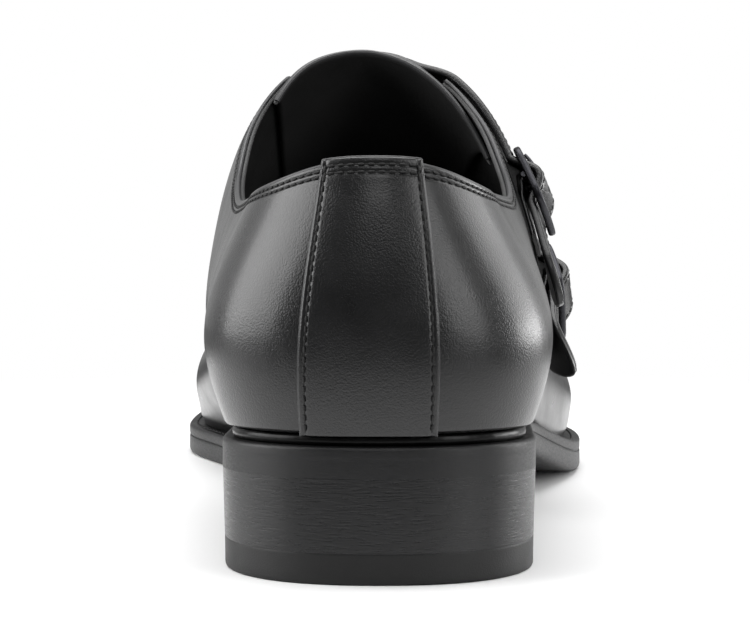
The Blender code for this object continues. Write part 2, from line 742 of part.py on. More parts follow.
def build_heel_strip():
    """Narrow strip over the back seam, cut from a form just outside the upper's."""
    rise = np.linspace(0.0, 1.0, 13)
    share = np.linspace(-1.0, 1.0, 7)
    half = STRIP_FOOT_HALF_WIDTH + (STRIP_TOP_HALF_WIDTH - STRIP_FOOT_HALF_WIDTH) * rise
    centre = STRIP_FOOT_CENTRE + (STRIP_TOP_CENTRE - STRIP_FOOT_CENTRE) * rise
    out = centre[None] + share[:, None] * half[None]
    grids = []
    for height in (CLEARANCE + STRIP_THICKNESS, CLEARANCE):
        sides = {}
        for side in (LATERAL, MEDIAL):
            reach = np.maximum(side * out, 0.0)
            station = HEEL_CENTRE * np.arcsin(reach / HEEL_CENTRE) / (0.5 * math.pi)
            edge = top_edge(station.ravel(), side).reshape(station.shape)
            sides[side] = upper_offset(station, edge * rise, side, height)
        grid = np.where((out >= 0.0)[..., None], sides[LATERAL], sides[MEDIAL])
        grid[:, -1, 2] += STRIP_TOP_RISE
        grids.append(grid)
    grids[1][:, 0, 2] = grids[0][:, 0, 2]
    make_object("heel_strip", *sheet_solid(*grids), BLACK_CALF)


def build_tongue():
    """Tongue under the straps: it closes the throat from inside and shows above the upper strap."""
    across = np.linspace(-1.0, 1.0, 15)[:, None]
    down = np.linspace(0.0, 1.0, 11)[None]
    top = THROAT_TOP - TONGUE_SIDE_DROP * np.abs(across) ** TONGUE_TOP_ROUNDNESS
    station = top + (TONGUE_END - top) * down
    wide = TONGUE_TOP_HALF_WIDTH + TONGUE_EXTRA_LATERAL * np.maximum(across, 0.0)
    half = wide + (TONGUE_END_HALF_WIDTH - wide) * down
    reach = (np.abs(across) * half).ravel()
    v = {
        side: v_at_reach(station.ravel(), side, reach).reshape(station.shape)
        for side in (LATERAL, MEDIAL)
    }
    grids = []
    for height in (-WALL - TONGUE_GAP, -WALL - TONGUE_GAP - TONGUE_THICKNESS):
        sides = [upper_offset(station, v[side], side, height) for side in (LATERAL, MEDIAL)]
        grids.append(np.where((across >= 0.0)[..., None], *sides))
    make_object("tongue", *sheet_solid(*grids), SOFT_CALF)


def build_strap(name, strap):
    """A strap from the inner side of the throat to its free tip, through its buckle."""
    tip_reach, tip_flare = strap[2:]
    share = np.array(STRAP_LANES)
    start = np.array([past_edge(strap, MEDIAL, s * STRAP_HALF_WIDTH, START_GAP) for s in share])
    over = min(past_edge(strap, LATERAL, s * STRAP_HALF_WIDTH, -RISE_BEFORE_EDGE) for s in share)
    hump_start, hump_end = STRAP_LIFT[0][0], STRAP_LIFT[-1][0]
    plain = start + (hump_start - start) * np.linspace(0.0, 1.0, 15)[:, None]
    tip = tip_reach - TIP_LENGTH + TIP_LENGTH * np.sin(np.linspace(0.0, 0.5 * math.pi, 6))
    rest = np.concatenate([HUMP_ROWS, [hump_end], tip])[:, None] + np.zeros_like(share)
    along = np.concatenate([plain, rest])
    ending = np.clip((along - tip_reach + TIP_LENGTH) / TIP_LENGTH, 0.0, 1.0)
    sideways = share * STRAP_HALF_WIDTH * (1.0 - ending ** TIP_SHARPNESS) ** (1.0 / TIP_SHARPNESS)

    def lift(at):
        sunk = np.clip((over - at) / STRAP_RISING, 0.0, 1.0)
        freed = np.clip((at - hump_end) / (tip_reach - hump_end), 0.0, 1.0)
        sunk = STRAP_SUNK * sunk * sunk * (3.0 - 2.0 * sunk)
        return eased(STRAP_LIFT, at) - sunk + tip_flare * freed ** TIP_SPRING

    slope = (lift(along + 0.1) - lift(along - 0.1)) / 0.2
    level = 1.0 / np.sqrt(1.0 + slope ** 2)
    inner = strap_space(strap, along, sideways, lift(along))
    back = along - STRAP_THICKNESS * slope * level
    outer = strap_space(strap, back, sideways, lift(along) + STRAP_THICKNESS * level)
    kept = np.ones((len(along) - 1, len(share) - 1), bool)
    middles = 0.5 * (along[1:, 2] + along[:-1, 2])
    in_slot = (middles > PRONG_SLOT[0]) & (middles < PRONG_SLOT[1])
    kept[in_slot, (len(share) - 1) // 2] = False
    make_object(name, *sheet_solid(outer, inner, kept), SOFT_CALF)


def tube(points, wide, tall, up, closed):
    """Corners and faces of a bar with an oval section, carried along points in strap space."""
    sides = 8
    turn = np.linspace(0.0, 2.0 * math.pi, sides, endpoint=False)
    ahead = np.roll(points, -1, axis=0) - np.roll(points, 1, axis=0)
    if not closed:
        ahead[0], ahead[-1] = points[1] - points[0], points[-1] - points[-2]
    ahead /= np.linalg.norm(ahead, axis=1, keepdims=True)
    out = np.cross(ahead, up)
    out /= np.linalg.norm(out, axis=1, keepdims=True)
    over = np.cross(out, ahead)
    wide = np.broadcast_to(wide, len(points))[:, None, None]
    tall = np.broadcast_to(tall, len(points))[:, None, None]
    rings = points[:, None] + wide * out[:, None] * np.cos(turn)[None, :, None]
    rings = rings + tall * over[:, None] * np.sin(turn)[None, :, None]
    count = len(points)
    faces = []
    for i in range(count if closed else count - 1):
        low, high = i * sides, (i + 1) % count * sides
        for k in range(sides):
            faces.append((low + k, low + (k + 1) % sides, high + (k + 1) % sides, high + k))
    if not closed:
        faces.append(tuple(range(sides)))
        faces.append(tuple((count - 1) * sides + k for k in range(sides)))
    return rings.reshape(-1, 3), faces


def in_strap_space(strap, corners):
    """Corners given as along, sideways and height, moved to the shoe."""
    return strap_space(strap, corners[:, 0], corners[:, 1], corners[:, 2])


def rounded_frame():
    """Middle line of the buckle's frame: a rectangle with round corners, tilted front to back."""
    corners = []
    for way_along, way_side, first in ((1, 1, 0.0), (-1, 1, 90.0), (-1, -1, 180.0), (1, -1, 270.0)):
        turn = np.radians(first + np.linspace(0.0, 90.0, 5))
        along = way_along * (FRAME_HALF_LENGTH - FRAME_CORNER) + FRAME_CORNER * np.cos(turn)
        side = way_side * (FRAME_HALF_WIDTH - FRAME_CORNER) + FRAME_CORNER * np.sin(turn)
        corners.append(np.stack([along, side], axis=1))
    line = np.concatenate(corners)
    share = 0.5 + 0.5 * line[:, :1] / FRAME_HALF_LENGTH
    height = FRAME_FRONT_HEIGHT + (FRAME_BACK_HEIGHT - FRAME_FRONT_HEIGHT) * share
    return np.concatenate([line, height], axis=1)


def build_buckle(name, strap):
    """Buckle frame with its centre bar joined to it."""
    up = np.array([0.0, 0.0, 1.0])
    corners, faces = tube(rounded_frame(), *FRAME_SECTION, up, True)
    frame = make_object(name, in_strap_space(strap, corners), faces, GUNMETAL)
    reach = np.linspace(-FRAME_HALF_WIDTH, FRAME_HALF_WIDTH, 7)
    bar_line = np.stack([np.zeros_like(reach), reach, np.full_like(reach, BAR_HEIGHT)], axis=1)
    corners, faces = tube(bar_line, BAR_RADIUS, BAR_RADIUS, up, False)
    bar = make_object(name + "_bar_form", in_strap_space(strap, corners), faces, GUNMETAL)
    bar.hide_render = True
    bar.display_type = "WIRE"
    union = frame.modifiers.new("bar", "BOOLEAN")
    union.operation = "UNION"
    union.solver = "EXACT"
    union.object = bar


def curl(radius, first, last, count):
    """Points round the buckle's bar in its side view, from angle to angle in degrees."""
    turn = np.radians(np.linspace(first, last, count))
    return np.stack([radius * np.cos(turn), BAR_HEIGHT + radius * np.sin(turn)], axis=1)


def build_prong(name, strap):
    """Prong curled round the bar, through the strap's slot and out over the front of the frame."""
    around = curl(BAR_RADIUS + PRONG_CURL_GAP + PRONG_RADII[0], -130.0, 90.0, 9)
    line = np.concatenate([around, np.array(PRONG_LINE)])
    line = np.insert(line, 1, 0.0, axis=1)
    radius = np.linspace(*PRONG_RADII, len(line))
    corners, faces = tube(line, radius, radius, np.array([0.0, 1.0, 0.0]), False)
    make_object(name, in_strap_space(strap, corners), faces, GUNMETAL)


def build_tab(name, strap):
    """Leather tab curled round the buckle's bar, its tail sewn down under the strap."""
    around = curl(BAR_RADIUS + CLEARANCE + 0.5 * TAB_THICKNESS, 270.0, -15.0, 12)
    line = np.concatenate([np.array(TAB_TAIL), around])
    ahead = np.gradient(line, axis=0)
    ahead /= np.linalg.norm(ahead, axis=1, keepdims=True)
    out = np.stack([-ahead[:, 1], ahead[:, 0]], axis=1) * 0.5 * TAB_THICKNESS
    share = np.array([-TAB_HALF_WIDTH, -TAB_SLOT_HALF_WIDTH, TAB_SLOT_HALF_WIDTH, TAB_HALF_WIDTH])
    faces = [
        strap_space(strap, shifted[:, :1], share[None], shifted[:, 1:])
        for shifted in (line + out, line - out)
    ]
    kept = np.ones((len(line) - 1, 3), bool)
    kept[len(TAB_TAIL) - 2:, 1] = False
    make_object(name, *sheet_solid(*faces, kept), SOFT_CALF)


def centre_on_floor():
    """Move every mesh so that the origin lies on the floor under the middle of the shoe."""
    shown = [made for made in bpy.data.objects if not made.hide_render]
    corners = np.array([corner.co for made in shown for corner in made.data.vertices])
    low, high = corners.min(axis=0), corners.max(axis=0)
    for made in bpy.data.objects:
        made.data.transform(Matrix.Translation(
            (-0.5 * (low[0] + high[0]), -0.5 * (low[1] + high[1]), -low[2])
        ))


def main():
    """Clear the scene and build every piece of the shoe."""
    for old in list(bpy.data.objects):
        bpy.data.objects.remove(old)
    build_heel()
    build_outsole()
    build_welt()
    build_insole()
    build_upper()
    build_heel_strip()
    build_tongue()
    for level, strap in (("upper", UPPER_STRAP), ("lower", LOWER_STRAP)):
        build_strap("strap_" + level, strap)
        build_buckle("buckle_" + level, strap)
        build_prong("prong_" + level, strap)
        build_tab("tab_" + level, strap)
    centre_on_floor()


main()
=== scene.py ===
# %% [markdown]
# # Dressing a double monk strap shoe
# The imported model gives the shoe's solids: sole, heel, upper, tongue, straps and buckles. They are
# coarse, so this lesson works the same forms out again on fine grids, then adds what a shoemaker adds:
# rolled edges, seams, stitches, polish and burnished edges. The frame is loaded first, because every
# place comes from it.

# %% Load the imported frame
import functools
import math

import bmesh
import bpy
import numpy as np
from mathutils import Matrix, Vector


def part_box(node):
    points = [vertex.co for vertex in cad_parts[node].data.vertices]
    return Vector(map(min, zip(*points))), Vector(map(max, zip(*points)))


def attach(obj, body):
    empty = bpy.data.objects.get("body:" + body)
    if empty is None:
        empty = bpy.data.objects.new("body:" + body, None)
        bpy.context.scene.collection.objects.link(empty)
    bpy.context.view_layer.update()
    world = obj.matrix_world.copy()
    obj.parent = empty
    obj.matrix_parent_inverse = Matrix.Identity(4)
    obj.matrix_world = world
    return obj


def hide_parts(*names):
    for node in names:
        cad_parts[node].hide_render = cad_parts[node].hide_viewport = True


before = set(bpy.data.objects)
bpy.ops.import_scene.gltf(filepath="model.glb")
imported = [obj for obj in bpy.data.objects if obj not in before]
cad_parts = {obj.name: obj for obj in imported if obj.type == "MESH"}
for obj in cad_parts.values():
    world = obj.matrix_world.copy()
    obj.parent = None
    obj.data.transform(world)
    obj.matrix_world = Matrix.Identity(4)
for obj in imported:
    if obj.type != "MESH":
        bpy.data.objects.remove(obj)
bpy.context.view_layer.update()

print("nodes in the frame:", ", ".join(sorted(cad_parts)))

# %% [markdown]
# ## The last
# A shoe takes its shape from a last, a carved foot. Here the last is a family of cross-sections: each
# is a smooth arch through a foot, a belly and a shoulder on either side, and a ridge. A few named sizes
# along the shoe say how wide and how high each section is, so every piece that lies on the shoe can
# ask for a point on it. All sizes are in millimetres until a mesh is written; x runs to the outer
# side, y from heel to toe, z up.

# %% Driving sizes
MM = 0.001
LATERAL = 1
MEDIAL = -1
CLEARANCE = 0.3
WALL = 2.4

# Driving sizes of the sole
SOLE_LENGTH = 302.0
HEEL_CENTRE = 33.0
HEEL_HALF_WIDTH = 33.5
HEEL_SQUARENESS = 2.3
TOE_START = 240.0

# The throat, where the quarters end beside the tongue
THROAT_TOP = 119.5
THROAT_LATERAL = 19.5
THROAT_MEDIAL = 20.5
THROAT_CENTRE = 106.0
VAMP_POINT = 180.0
print("sole is", SOLE_LENGTH, "mm long, the wall", WALL, "mm thick")

# %% Rows along the sole
# Centre line and half width of the sole's edge; past TOE_START the half width tapers to this value
# before the toe's circle closes it
OUTLINE = (
    # station, centre, half_width
    (33.0, 0.0, 33.5),
    (60.0, 1.0, 33.3),
    (90.0, 3.0, 32.3),
    (117.0, 5.6, 32.7),
    (150.0, 8.5, 38.0),
    (175.0, 8.3, 44.8),
    (200.0, 5.1, 50.8),
    (226.0, -0.9, 53.5),
    (240.0, -2.8, 51.3),
    (260.0, -5.0, 46.3),
    (302.0, -8.0, 35.8),
)

# Underside of the sole, thickness of sole and welt together, share of it that is welt, and how far
# the welt stands out past the foot of the upper
SOLE_SECTIONS = (
    # y, underside, thickness, welt_share, welt_margin
    (0.0, 21.9, 6.4, 0.30, 1.6),
    (33.0, 20.9, 6.4, 0.30, 1.6),
    (68.0, 19.4, 6.8, 0.32, 2.0),
    (90.0, 17.0, 7.1, 0.33, 2.3),
    (117.0, 13.3, 7.5, 0.34, 2.8),
    (150.0, 6.0, 8.1, 0.35, 3.5),
    (175.0, 1.1, 8.4, 0.35, 4.1),
    (187.0, 0.0, 8.4, 0.35, 4.4),
    (228.0, 0.0, 8.4, 0.35, 4.6),
    (250.0, 1.6, 8.3, 0.35, 4.8),
    (275.0, 5.5, 8.1, 0.35, 5.0),
    (302.0, 12.0, 8.0, 0.35, 5.0),
)

print("sole has", len(OUTLINE), "rows in plan and", len(SOLE_SECTIONS), "in height")

# %% Rows along the last
# Ridge of the last: highest line over the instep and toe. Behind the throat it is only a guide line
RIDGE = (
    # y, x, z
    (33.0, -1.6, 135.0),
    (60.0, -1.6, 132.0),
    (90.0, -1.8, 125.5),
    (110.0, -2.1, 120.8),
    (119.5, -2.3, 114.6),
    (138.0, -3.0, 99.6),
    (157.0, -4.2, 85.0),
    (180.0, -5.8, 71.0),
    (203.0, -7.2, 60.0),
    (226.0, -8.0, 52.0),
    (245.0, -8.0, 47.2),
    (262.0, -7.6, 44.2),
    (302.0, -8.0, 39.0),
)

# Shape of each cross-section: where the side is fullest (belly) and where it turns in (shoulder), as
# shares of the section's half width and height, for the outer and the inner side
SECTIONS = (
    # station, belly_lateral, belly_medial, belly_up, shoulder_lateral, shoulder_medial, shoulder_up
    (0.0, 1.10, 1.10, 0.166, 0.946, 0.946, 0.531),
    (16.5, 1.12, 1.12, 0.170, 0.80, 0.82, 0.510),
    (33.0, 1.17, 1.165, 0.175, 0.774, 0.815, 0.490),
    (60.0, 1.198, 1.235, 0.185, 0.945, 0.985, 0.479),
    (90.0, 1.165, 1.31, 0.12, 1.06, 1.20, 0.525),
    (119.5, 1.20, 1.29, 0.222, 0.955, 1.12, 0.708),
    (150.0, 1.15, 1.243, 0.27, 0.935, 0.93, 0.69),
    (185.0, 1.125, 1.178, 0.20, 0.833, 0.81, 0.70),
    (226.0, 1.09, 1.03, 0.155, 0.74, 0.75, 0.70),
    (262.0, 1.05, 1.03, 0.25, 0.74, 0.76, 0.72),
    (302.0, 1.03, 1.03, 0.30, 0.76, 0.76, 0.72),
)

# Height of the top edge of the upper
COLLAR = (
    # station, lateral, medial
    (0.0, 86.2, 86.2),
    (7.0, 85.6, 85.6),
    (13.0, 83.8, 83.8),
    (20.0, 81.5, 81.6),
    (33.0, 79.4, 79.1),
    (48.0, 78.2, 77.4),
    (65.0, 77.8, 76.9),
    (76.0, 79.9, 79.0),
    (87.0, 83.8, 82.6),
    (97.0, 89.8, 88.8),
    (106.0, 96.2, 95.6),
    (113.0, 102.8, 102.5),
    (119.5, 111.2, 111.2),
)

print("last has", len(SECTIONS), "sections, and its collar", len(COLLAR), "heights")

# %% [markdown]
# ## Rows of numbers
# The same few sums come back in every piece: an easing step, a vector made one long, the distance
# along a line, and a row of values that is even in runs. A natural cubic spline bends as little as a
# thin batten does, so it carries the sizes above smoothly from one to the next. It is solved for many
# curves at once.

# %% Small sums
def smooth_step(x):
    """0 below 0 and 1 above 1, easing in between: x squared times (3 - 2x)."""
    x = np.clip(x, 0.0, 1.0)
    return x * x * (3.0 - 2.0 * x)


def unit(vectors):
    """Vectors divided by their lengths."""
    return vectors / np.linalg.norm(vectors, axis=-1, keepdims=True)


def distances(line):
    """How far each point of a line lies along it: the running sum of the steps between them."""
    return np.concatenate([[0.0], np.cumsum(np.linalg.norm(np.diff(line, axis=0), axis=1))])


def read_at(where, distance, values):
    """The columns of values, known at distances along a line, read at other distances."""
    return np.stack([np.interp(where, distance, column) for column in values.T], axis=1)


def runs(start, *steps_and_ends):
    """Values evenly spaced in runs: after the start come each run's number of steps and its end."""
    values = [start]
    for steps, end in zip(steps_and_ends[::2], steps_and_ends[1::2]):
        values.extend(np.linspace(values[-1], end, steps + 1)[1:])
    return np.array(values)


def to_toe(stations, count):
    """Stations carried on from TOE_START to the toe's tip, closer together where it rounds."""
    turn = np.linspace(0.0, 0.5 * math.pi, count)
    return np.concatenate([stations[:-1], TOE_START + (SOLE_LENGTH - TOE_START) * np.sin(turn)])


print("halfway through a step of 0 to 1 it is at", smooth_step(0.5))

# %% Curves
def spline(keys, values, at):
    """Natural cubic spline through values at keys, read at `at`. Leading axes hold separate curves.

    One linear system gives the bend at each key. Between two keys the curve is the straight line
    between their values plus a sag made of the two bends.
    """
    count = keys.shape[-1]
    gap = np.diff(keys, axis=-1)
    slope = np.diff(values, axis=-2) / gap[..., None]
    inner = np.arange(1, count - 1)
    system = np.zeros(keys.shape + (count,))
    system[..., 0, 0] = 1.0
    system[..., -1, -1] = 1.0
    system[..., inner, inner - 1] = gap[..., :-1]
    system[..., inner, inner] = 2.0 * (gap[..., :-1] + gap[..., 1:])
    system[..., inner, inner + 1] = gap[..., 1:]
    right = np.zeros_like(values)
    right[..., 1:-1, :] = 6.0 * np.diff(slope, axis=-2)
    bend = np.linalg.solve(system, right)
    low = (at[..., None] >= keys[..., None, 1:-1]).sum(-1)[..., None]
    spans = np.concatenate([
        keys[..., :-1, None], gap[..., None],
        values[..., :-1, :], values[..., 1:, :], bend[..., :-1, :], bend[..., 1:, :],
    ], axis=-1)
    spans = np.take_along_axis(spans, np.broadcast_to(low, low.shape[:-1] + spans.shape[-1:]), axis=-2)
    start, width = spans[..., :1], spans[..., 1:2]
    v0, v1, b0, b1 = np.split(spans[..., 2:], 4, axis=-1)
    a = (at[..., None] - start) / width
    sag = ((1 - a) ** 3 - (1 - a)) * b0 + (a ** 3 - a) * b1
    return (1 - a) * v0 + a * v1 + sag * width ** 2 / 6.0


def columns(table, at):
    """The columns of a table after its first, as smooth curves read at `at`.

    A table that starts at the back of the heel is mirrored there, so that it runs level across it.
    """
    rows = np.array(table)
    if rows[0, 0] == 0.0:
        mirrored = rows[2:0:-1] * np.where(np.arange(rows.shape[1]) == 0, -1.0, 1.0)
        rows = np.concatenate([mirrored, rows])
    at = np.asarray(at, dtype=float)
    return np.moveaxis(spline(rows[:, 0], rows[:, 1:], at.ravel()).reshape(at.shape + (-1,)), -1, 0)


print("width of the ball:", round(2 * float(columns(OUTLINE, 226.0)[1]), 1), "mm")

# %% [markdown]
# ## Plan and levels of the sole
# The edge of the sole is round at the heel, hollow at the waist and full at the ball. The functions
# give its plan, moved in by any inset, and the heights of its layers.

# %% Sole form
def heel_turn(station):
    """Angle round the heel's centre: 0 at the back of the heel, a quarter turn from the centre on."""
    return 0.5 * math.pi * np.minimum(station, HEEL_CENTRE) / HEEL_CENTRE


def heel_station(beside):
    """Station on the heel at a distance beside its back: the arc sine of its share of the radius."""
    return HEEL_CENTRE * np.arcsin(beside / HEEL_CENTRE) / (0.5 * math.pi)


def plan(station, side, inset):
    """Plan point of the sole's edge on one side, moved in by inset.

    The heel is a superellipse, the sides follow OUTLINE, and the toe closes as the square root of 1
    less the share past TOE_START squared.
    """
    centre, taper = columns(OUTLINE, np.maximum(station, HEEL_CENTRE))
    turn = heel_turn(station)
    across = np.sin(turn) / (HEEL_HALF_WIDTH - inset)
    along = np.cos(turn) / (HEEL_CENTRE - inset)
    reach = (across ** HEEL_SQUARENESS + along ** HEEL_SQUARENESS) ** (-1.0 / HEEL_SQUARENESS)
    toe_length = SOLE_LENGTH - TOE_START
    closing = np.clip((station - TOE_START) / toe_length, 0.0, 1.0)
    half = (taper - inset) * np.sqrt(1.0 - closing ** 2)
    in_heel = station < HEEL_CENTRE
    x = np.where(in_heel, side * reach * np.sin(turn), centre + side * half)
    y = np.where(in_heel, HEEL_CENTRE - reach * np.cos(turn), station - closing * inset)
    return x, y


def underside(y):
    """Height of the outsole's lower face, flat on the floor under the ball of the foot."""
    return np.maximum(columns(SOLE_SECTIONS, y)[0], 0.0)


def outsole_top(y):
    """Height of the outsole's upper face."""
    _, thick, share, _ = columns(SOLE_SECTIONS, y)
    return underside(y) + thick * (1.0 - share)


def welt_top(y):
    """Height of the welt's upper face."""
    return underside(y) + columns(SOLE_SECTIONS, y)[1]


print("sole is", round(float(welt_top(200.0)), 1), "mm thick at the ball")

# %% [markdown]
# ## The surface of the upper
# Two numbers name a place on the upper: its station along the shoe, and v, which is 0 at the foot and
# 1 on the ridge. The normal comes from two short steps along the surface, and lets a piece stand any
# height above the leather.

# %% Surface of the upper
TOE_BOX_START = 255.0
TOE_BOX_SQUARENESS = 2.5


def upper_surface(station, v, side):
    """Outer face of the upper. v is 0 at its foot and 1 on the ridge; side is LATERAL or MEDIAL.

    Each section is a smooth arch through foot, belly and shoulder of this side, the ridge, and
    shoulder, belly and foot of the other side. From the heel's centre on the sections lie across
    the shoe; behind it they turn about the heel's centre. Stations whose last axis is 1 are worked out
    once for all the v along that axis.
    """
    station, v = np.asarray(station, float), np.asarray(v, float)
    shape = np.broadcast_shapes(station.shape, v.shape)
    if station.shape[-1:] != (1,):
        station, v = np.broadcast_to(station, shape)[..., None], np.broadcast_to(v, shape)[..., None]
    lanes = v.shape[-1]
    station = np.broadcast_to(station, np.broadcast_shapes(station.shape, v.shape[:-1] + (1,))).ravel()
    v = np.broadcast_to(v, shape if lanes > 1 else v.shape).reshape(len(station), lanes)
    centre, _ = columns(OUTLINE, np.maximum(station, HEEL_CENTRE))
    margin = columns(SOLE_SECTIONS, station)[3]
    foot_x, foot_y = plan(station, side, margin)
    in_heel = station < HEEL_CENTRE
    half = np.where(in_heel, np.hypot(foot_x, foot_y - HEEL_CENTRE), np.abs(foot_x - centre))
    foot_z = welt_top(foot_y) + CLEARANCE
    ridge_x, ridge_z = columns(RIDGE, np.maximum(foot_y, HEEL_CENTRE))
    closing = np.clip((station - TOE_BOX_START) / (SOLE_LENGTH - TOE_BOX_START), 0.0, 1.0)
    closing = (1.0 - closing ** TOE_BOX_SQUARENESS) ** (1.0 / TOE_BOX_SQUARENESS)
    height = (ridge_z - foot_z) * closing
    belly_l, belly_m, belly_up, shoulder_l, shoulder_m, shoulder_up = columns(SECTIONS, station)
    own = (belly_l, shoulder_l) if side == LATERAL else (belly_m, shoulder_m)
    other = (belly_m, shoulder_m) if side == LATERAL else (belly_l, shoulder_l)
    one = np.ones_like(half)
    out = np.stack([one, own[0], own[1], 0 * one, -other[1], -other[0], -one], axis=-1)
    up = np.stack([0 * one, belly_up, shoulder_up, one, shoulder_up, belly_up, 0 * one], axis=-1)
    scale = np.maximum(half, 1e-6)[:, None]
    tall = np.maximum(height, 1e-6)[:, None]
    points = np.stack([out * scale, up * tall], axis=-1)
    keys = np.cumsum(np.hypot(*np.moveaxis(np.diff(points, axis=1), -1, 0)), axis=1)
    keys = np.concatenate([np.zeros_like(scale), keys], axis=1)
    reach, rise = np.moveaxis(spline(keys, points, v * keys[:, 3:4]), -1, 0)
    turn = heel_turn(station)[:, None]
    in_heel, centre, foot_y = in_heel[:, None], centre[:, None], foot_y[:, None]
    lean = (ridge_x[:, None] - np.where(in_heel, 0.0, centre)) * rise / tall
    x = np.where(in_heel, side * reach * np.sin(turn), centre + side * reach) + lean
    y = np.where(in_heel, HEEL_CENTRE - reach * np.cos(turn), foot_y + 0.0 * reach)
    return np.stack([x, y, foot_z[:, None] + rise], axis=-1).reshape(shape + (3,))


print("back of the heel bulges to y =", round(float(upper_surface(0.0, 0.2, LATERAL)[1]), 1), "mm")

# %% Normals, and points off the surface
def upper_normal(station, v, side):
    """Outward normal of the upper's outer face: the cross product of two short steps along it."""
    step_s, step_v = 0.05, 0.002
    station, v = np.asarray(station, float), np.asarray(v, float)
    s0 = np.clip(station - step_s, 0.0, SOLE_LENGTH - 2 * step_s)
    v0 = np.clip(v - step_v, 0.0, 1.0)
    along = upper_surface(s0 + 2 * step_s, v, side) - upper_surface(s0, v, side)
    v1 = np.clip(v + step_v, 0.0, 1.0)
    held = np.minimum(station, SOLE_LENGTH - step_s)
    around = upper_surface(held, v1, side) - upper_surface(held, v0, side)
    normal = unit(np.cross(along, around) * side)
    return np.where((station >= SOLE_LENGTH)[..., None], (0.0, 1.0, 0.0), normal)


def upper_offset(station, v, side, height):
    """Point that stands `height` outside the upper's outer face: the point plus height normals."""
    height = np.asarray(height)[..., None]
    return upper_surface(station, v, side) + height * upper_normal(station, v, side)


def two_faces(station, v, side, outer, inner):
    """The grids of a sheet's outer and inner face, at two heights over the upper's outer face."""
    return [upper_offset(station, v, side, height) for height in (outer, inner)]


def by_side(across, of_side):
    """Points that a function gives for either side, each taken from the side on which it lies."""
    return np.where((across >= 0.0)[..., None], of_side(LATERAL), of_side(MEDIAL))


def around_heel(medial, lateral):
    """The medial and lateral half of a grid or a line as one, without its middle twice."""
    return np.concatenate([medial[:0:-1], lateral])


print("normal at the heel's back:", np.round(upper_normal(0.0, 0.2, LATERAL), 2))

# %% [markdown]
# ## Places on the upper
# The collar is known by its heights and the throat by its distance from the ridge line, so both are
# looked up on the surface: each section is sampled, and the last crossing of the wanted value is
# found between two samples.

# %% Top edge of the upper
SAMPLES = np.linspace(0.0, 1.0, 121)
OUT_OF_REACH = 1000.0


def last_crossing(above):
    """For rows of samples that fall from positive to negative, v where each last crosses zero."""
    index = np.clip((above > 0.0).cumsum(axis=1).argmax(axis=1), 0, above.shape[1] - 2)
    row = np.arange(len(above))
    high, low = above[row, index], above[row, index + 1]
    share = np.where(high > 0.0, high / np.maximum(high - low, 1e-9), 0.0)
    return np.where(above[:, -1] > 0.0, 1.0, SAMPLES[index] + share * (SAMPLES[1] - SAMPLES[0]))


def v_at_height(station, side, z):
    """v where the section at each station reaches height z."""
    heights = upper_surface(station[:, None], SAMPLES[None], side)[..., 2]
    return last_crossing(z[:, None] - heights)


def v_at_reach(station, side, reach):
    """v where the section at each station comes in to a distance `reach` from the ridge line."""
    section = upper_surface(station[:, None], SAMPLES[None], side)
    out = np.abs(section[..., 0] - section[:, -1:, 0])
    return last_crossing(out - reach[:, None])


def top_edge(station, side):
    """v of the upper's top edge: the collar, then the throat, whose side is a quarter ellipse."""
    collar = columns(COLLAR, np.minimum(station, THROAT_TOP))[0 if side == LATERAL else 1]
    edge = v_at_height(station, side, np.where(station < THROAT_TOP, collar, OUT_OF_REACH))
    widest = THROAT_LATERAL if side == LATERAL else THROAT_MEDIAL
    along = np.clip((station - THROAT_CENTRE) / (VAMP_POINT - THROAT_CENTRE), 0.0, 1.0)
    throat = v_at_reach(station, side, widest * np.sqrt(1.0 - along ** 2))
    return np.where(station < HEEL_CENTRE, edge, np.minimum(edge, throat))


print("collar is lowest at", round(float(columns(COLLAR, 65.0)[1]), 1), "mm")

# %% [markdown]
# ## A strap's own space
# Straps, buckles, prongs and tabs follow one route over the instep. Three numbers name a place there:
# the distance along the route from the buckle's bar, the distance sideways, and the height over the
# upper. What is drawn straight in that space wraps itself over the instep.

# %% Routes of the straps
# Route of each strap's middle, from the inner side of the throat over the ridge to its tip
UPPER_ROUTE = (
    # share, station, across
    (0.00, 130.5, -0.220),
    (0.30, 128.0, 0.020),
    (0.60, 118.0, 0.290),
    (0.80, 106.8, 0.475),
    (1.00, 91.0, 0.680),
    (1.20, 74.4, 0.885),
)
LOWER_ROUTE = (
    # share, station, across
    (0.00, 156.0, -0.210),
    (0.30, 154.0, 0.050),
    (0.60, 143.0, 0.400),
    (0.80, 129.0, 0.665),
    (1.00, 110.5, 0.850),
    (1.12, 99.1, 0.952),
)
STRAP_HALF_WIDTH = 7.0

# A strap: its route, the share of the route at which it meets the buckle's bar, how far its tip
# reaches past the bar, and how far the tip springs up from the shoe
STRAPS = {
    "upper": (UPPER_ROUTE, 0.826, 32.0, 1.6),
    "lower": (LOWER_ROUTE, 0.799, 27.3, 7.5),
}

print("routes have", len(UPPER_ROUTE), "and", len(LOWER_ROUTE), "rows")

# %% Places in a strap's space
EDGES_END = -20.0


def over_ridge(station, across, height=None):
    """Point `height` above the upper's face; across is 0 on the ridge, 1 at the lateral foot and -1
    at the medial foot."""
    v = 1.0 - np.abs(across)
    if height is None:
        return by_side(across, lambda side: upper_surface(station, v, side))
    return by_side(across, lambda side: upper_offset(station, v, side, height))


@functools.cache
def route_places(strap):
    """Distances from the buckle's bar along a strap's route, with the station and across there."""
    route, bar_share = strap[:2]
    share = np.linspace(0.0, route[-1][0], 289)
    station, across = columns(route, share)
    distance = distances(over_ridge(station, across))
    return distance - np.interp(bar_share, share, distance), station, across


def on_route(strap, along):
    """Station and across of the strap's middle line at a distance from the bar."""
    distance, stations, acrosses = route_places(strap)
    return np.interp(along, distance, stations), np.interp(along, distance, acrosses)


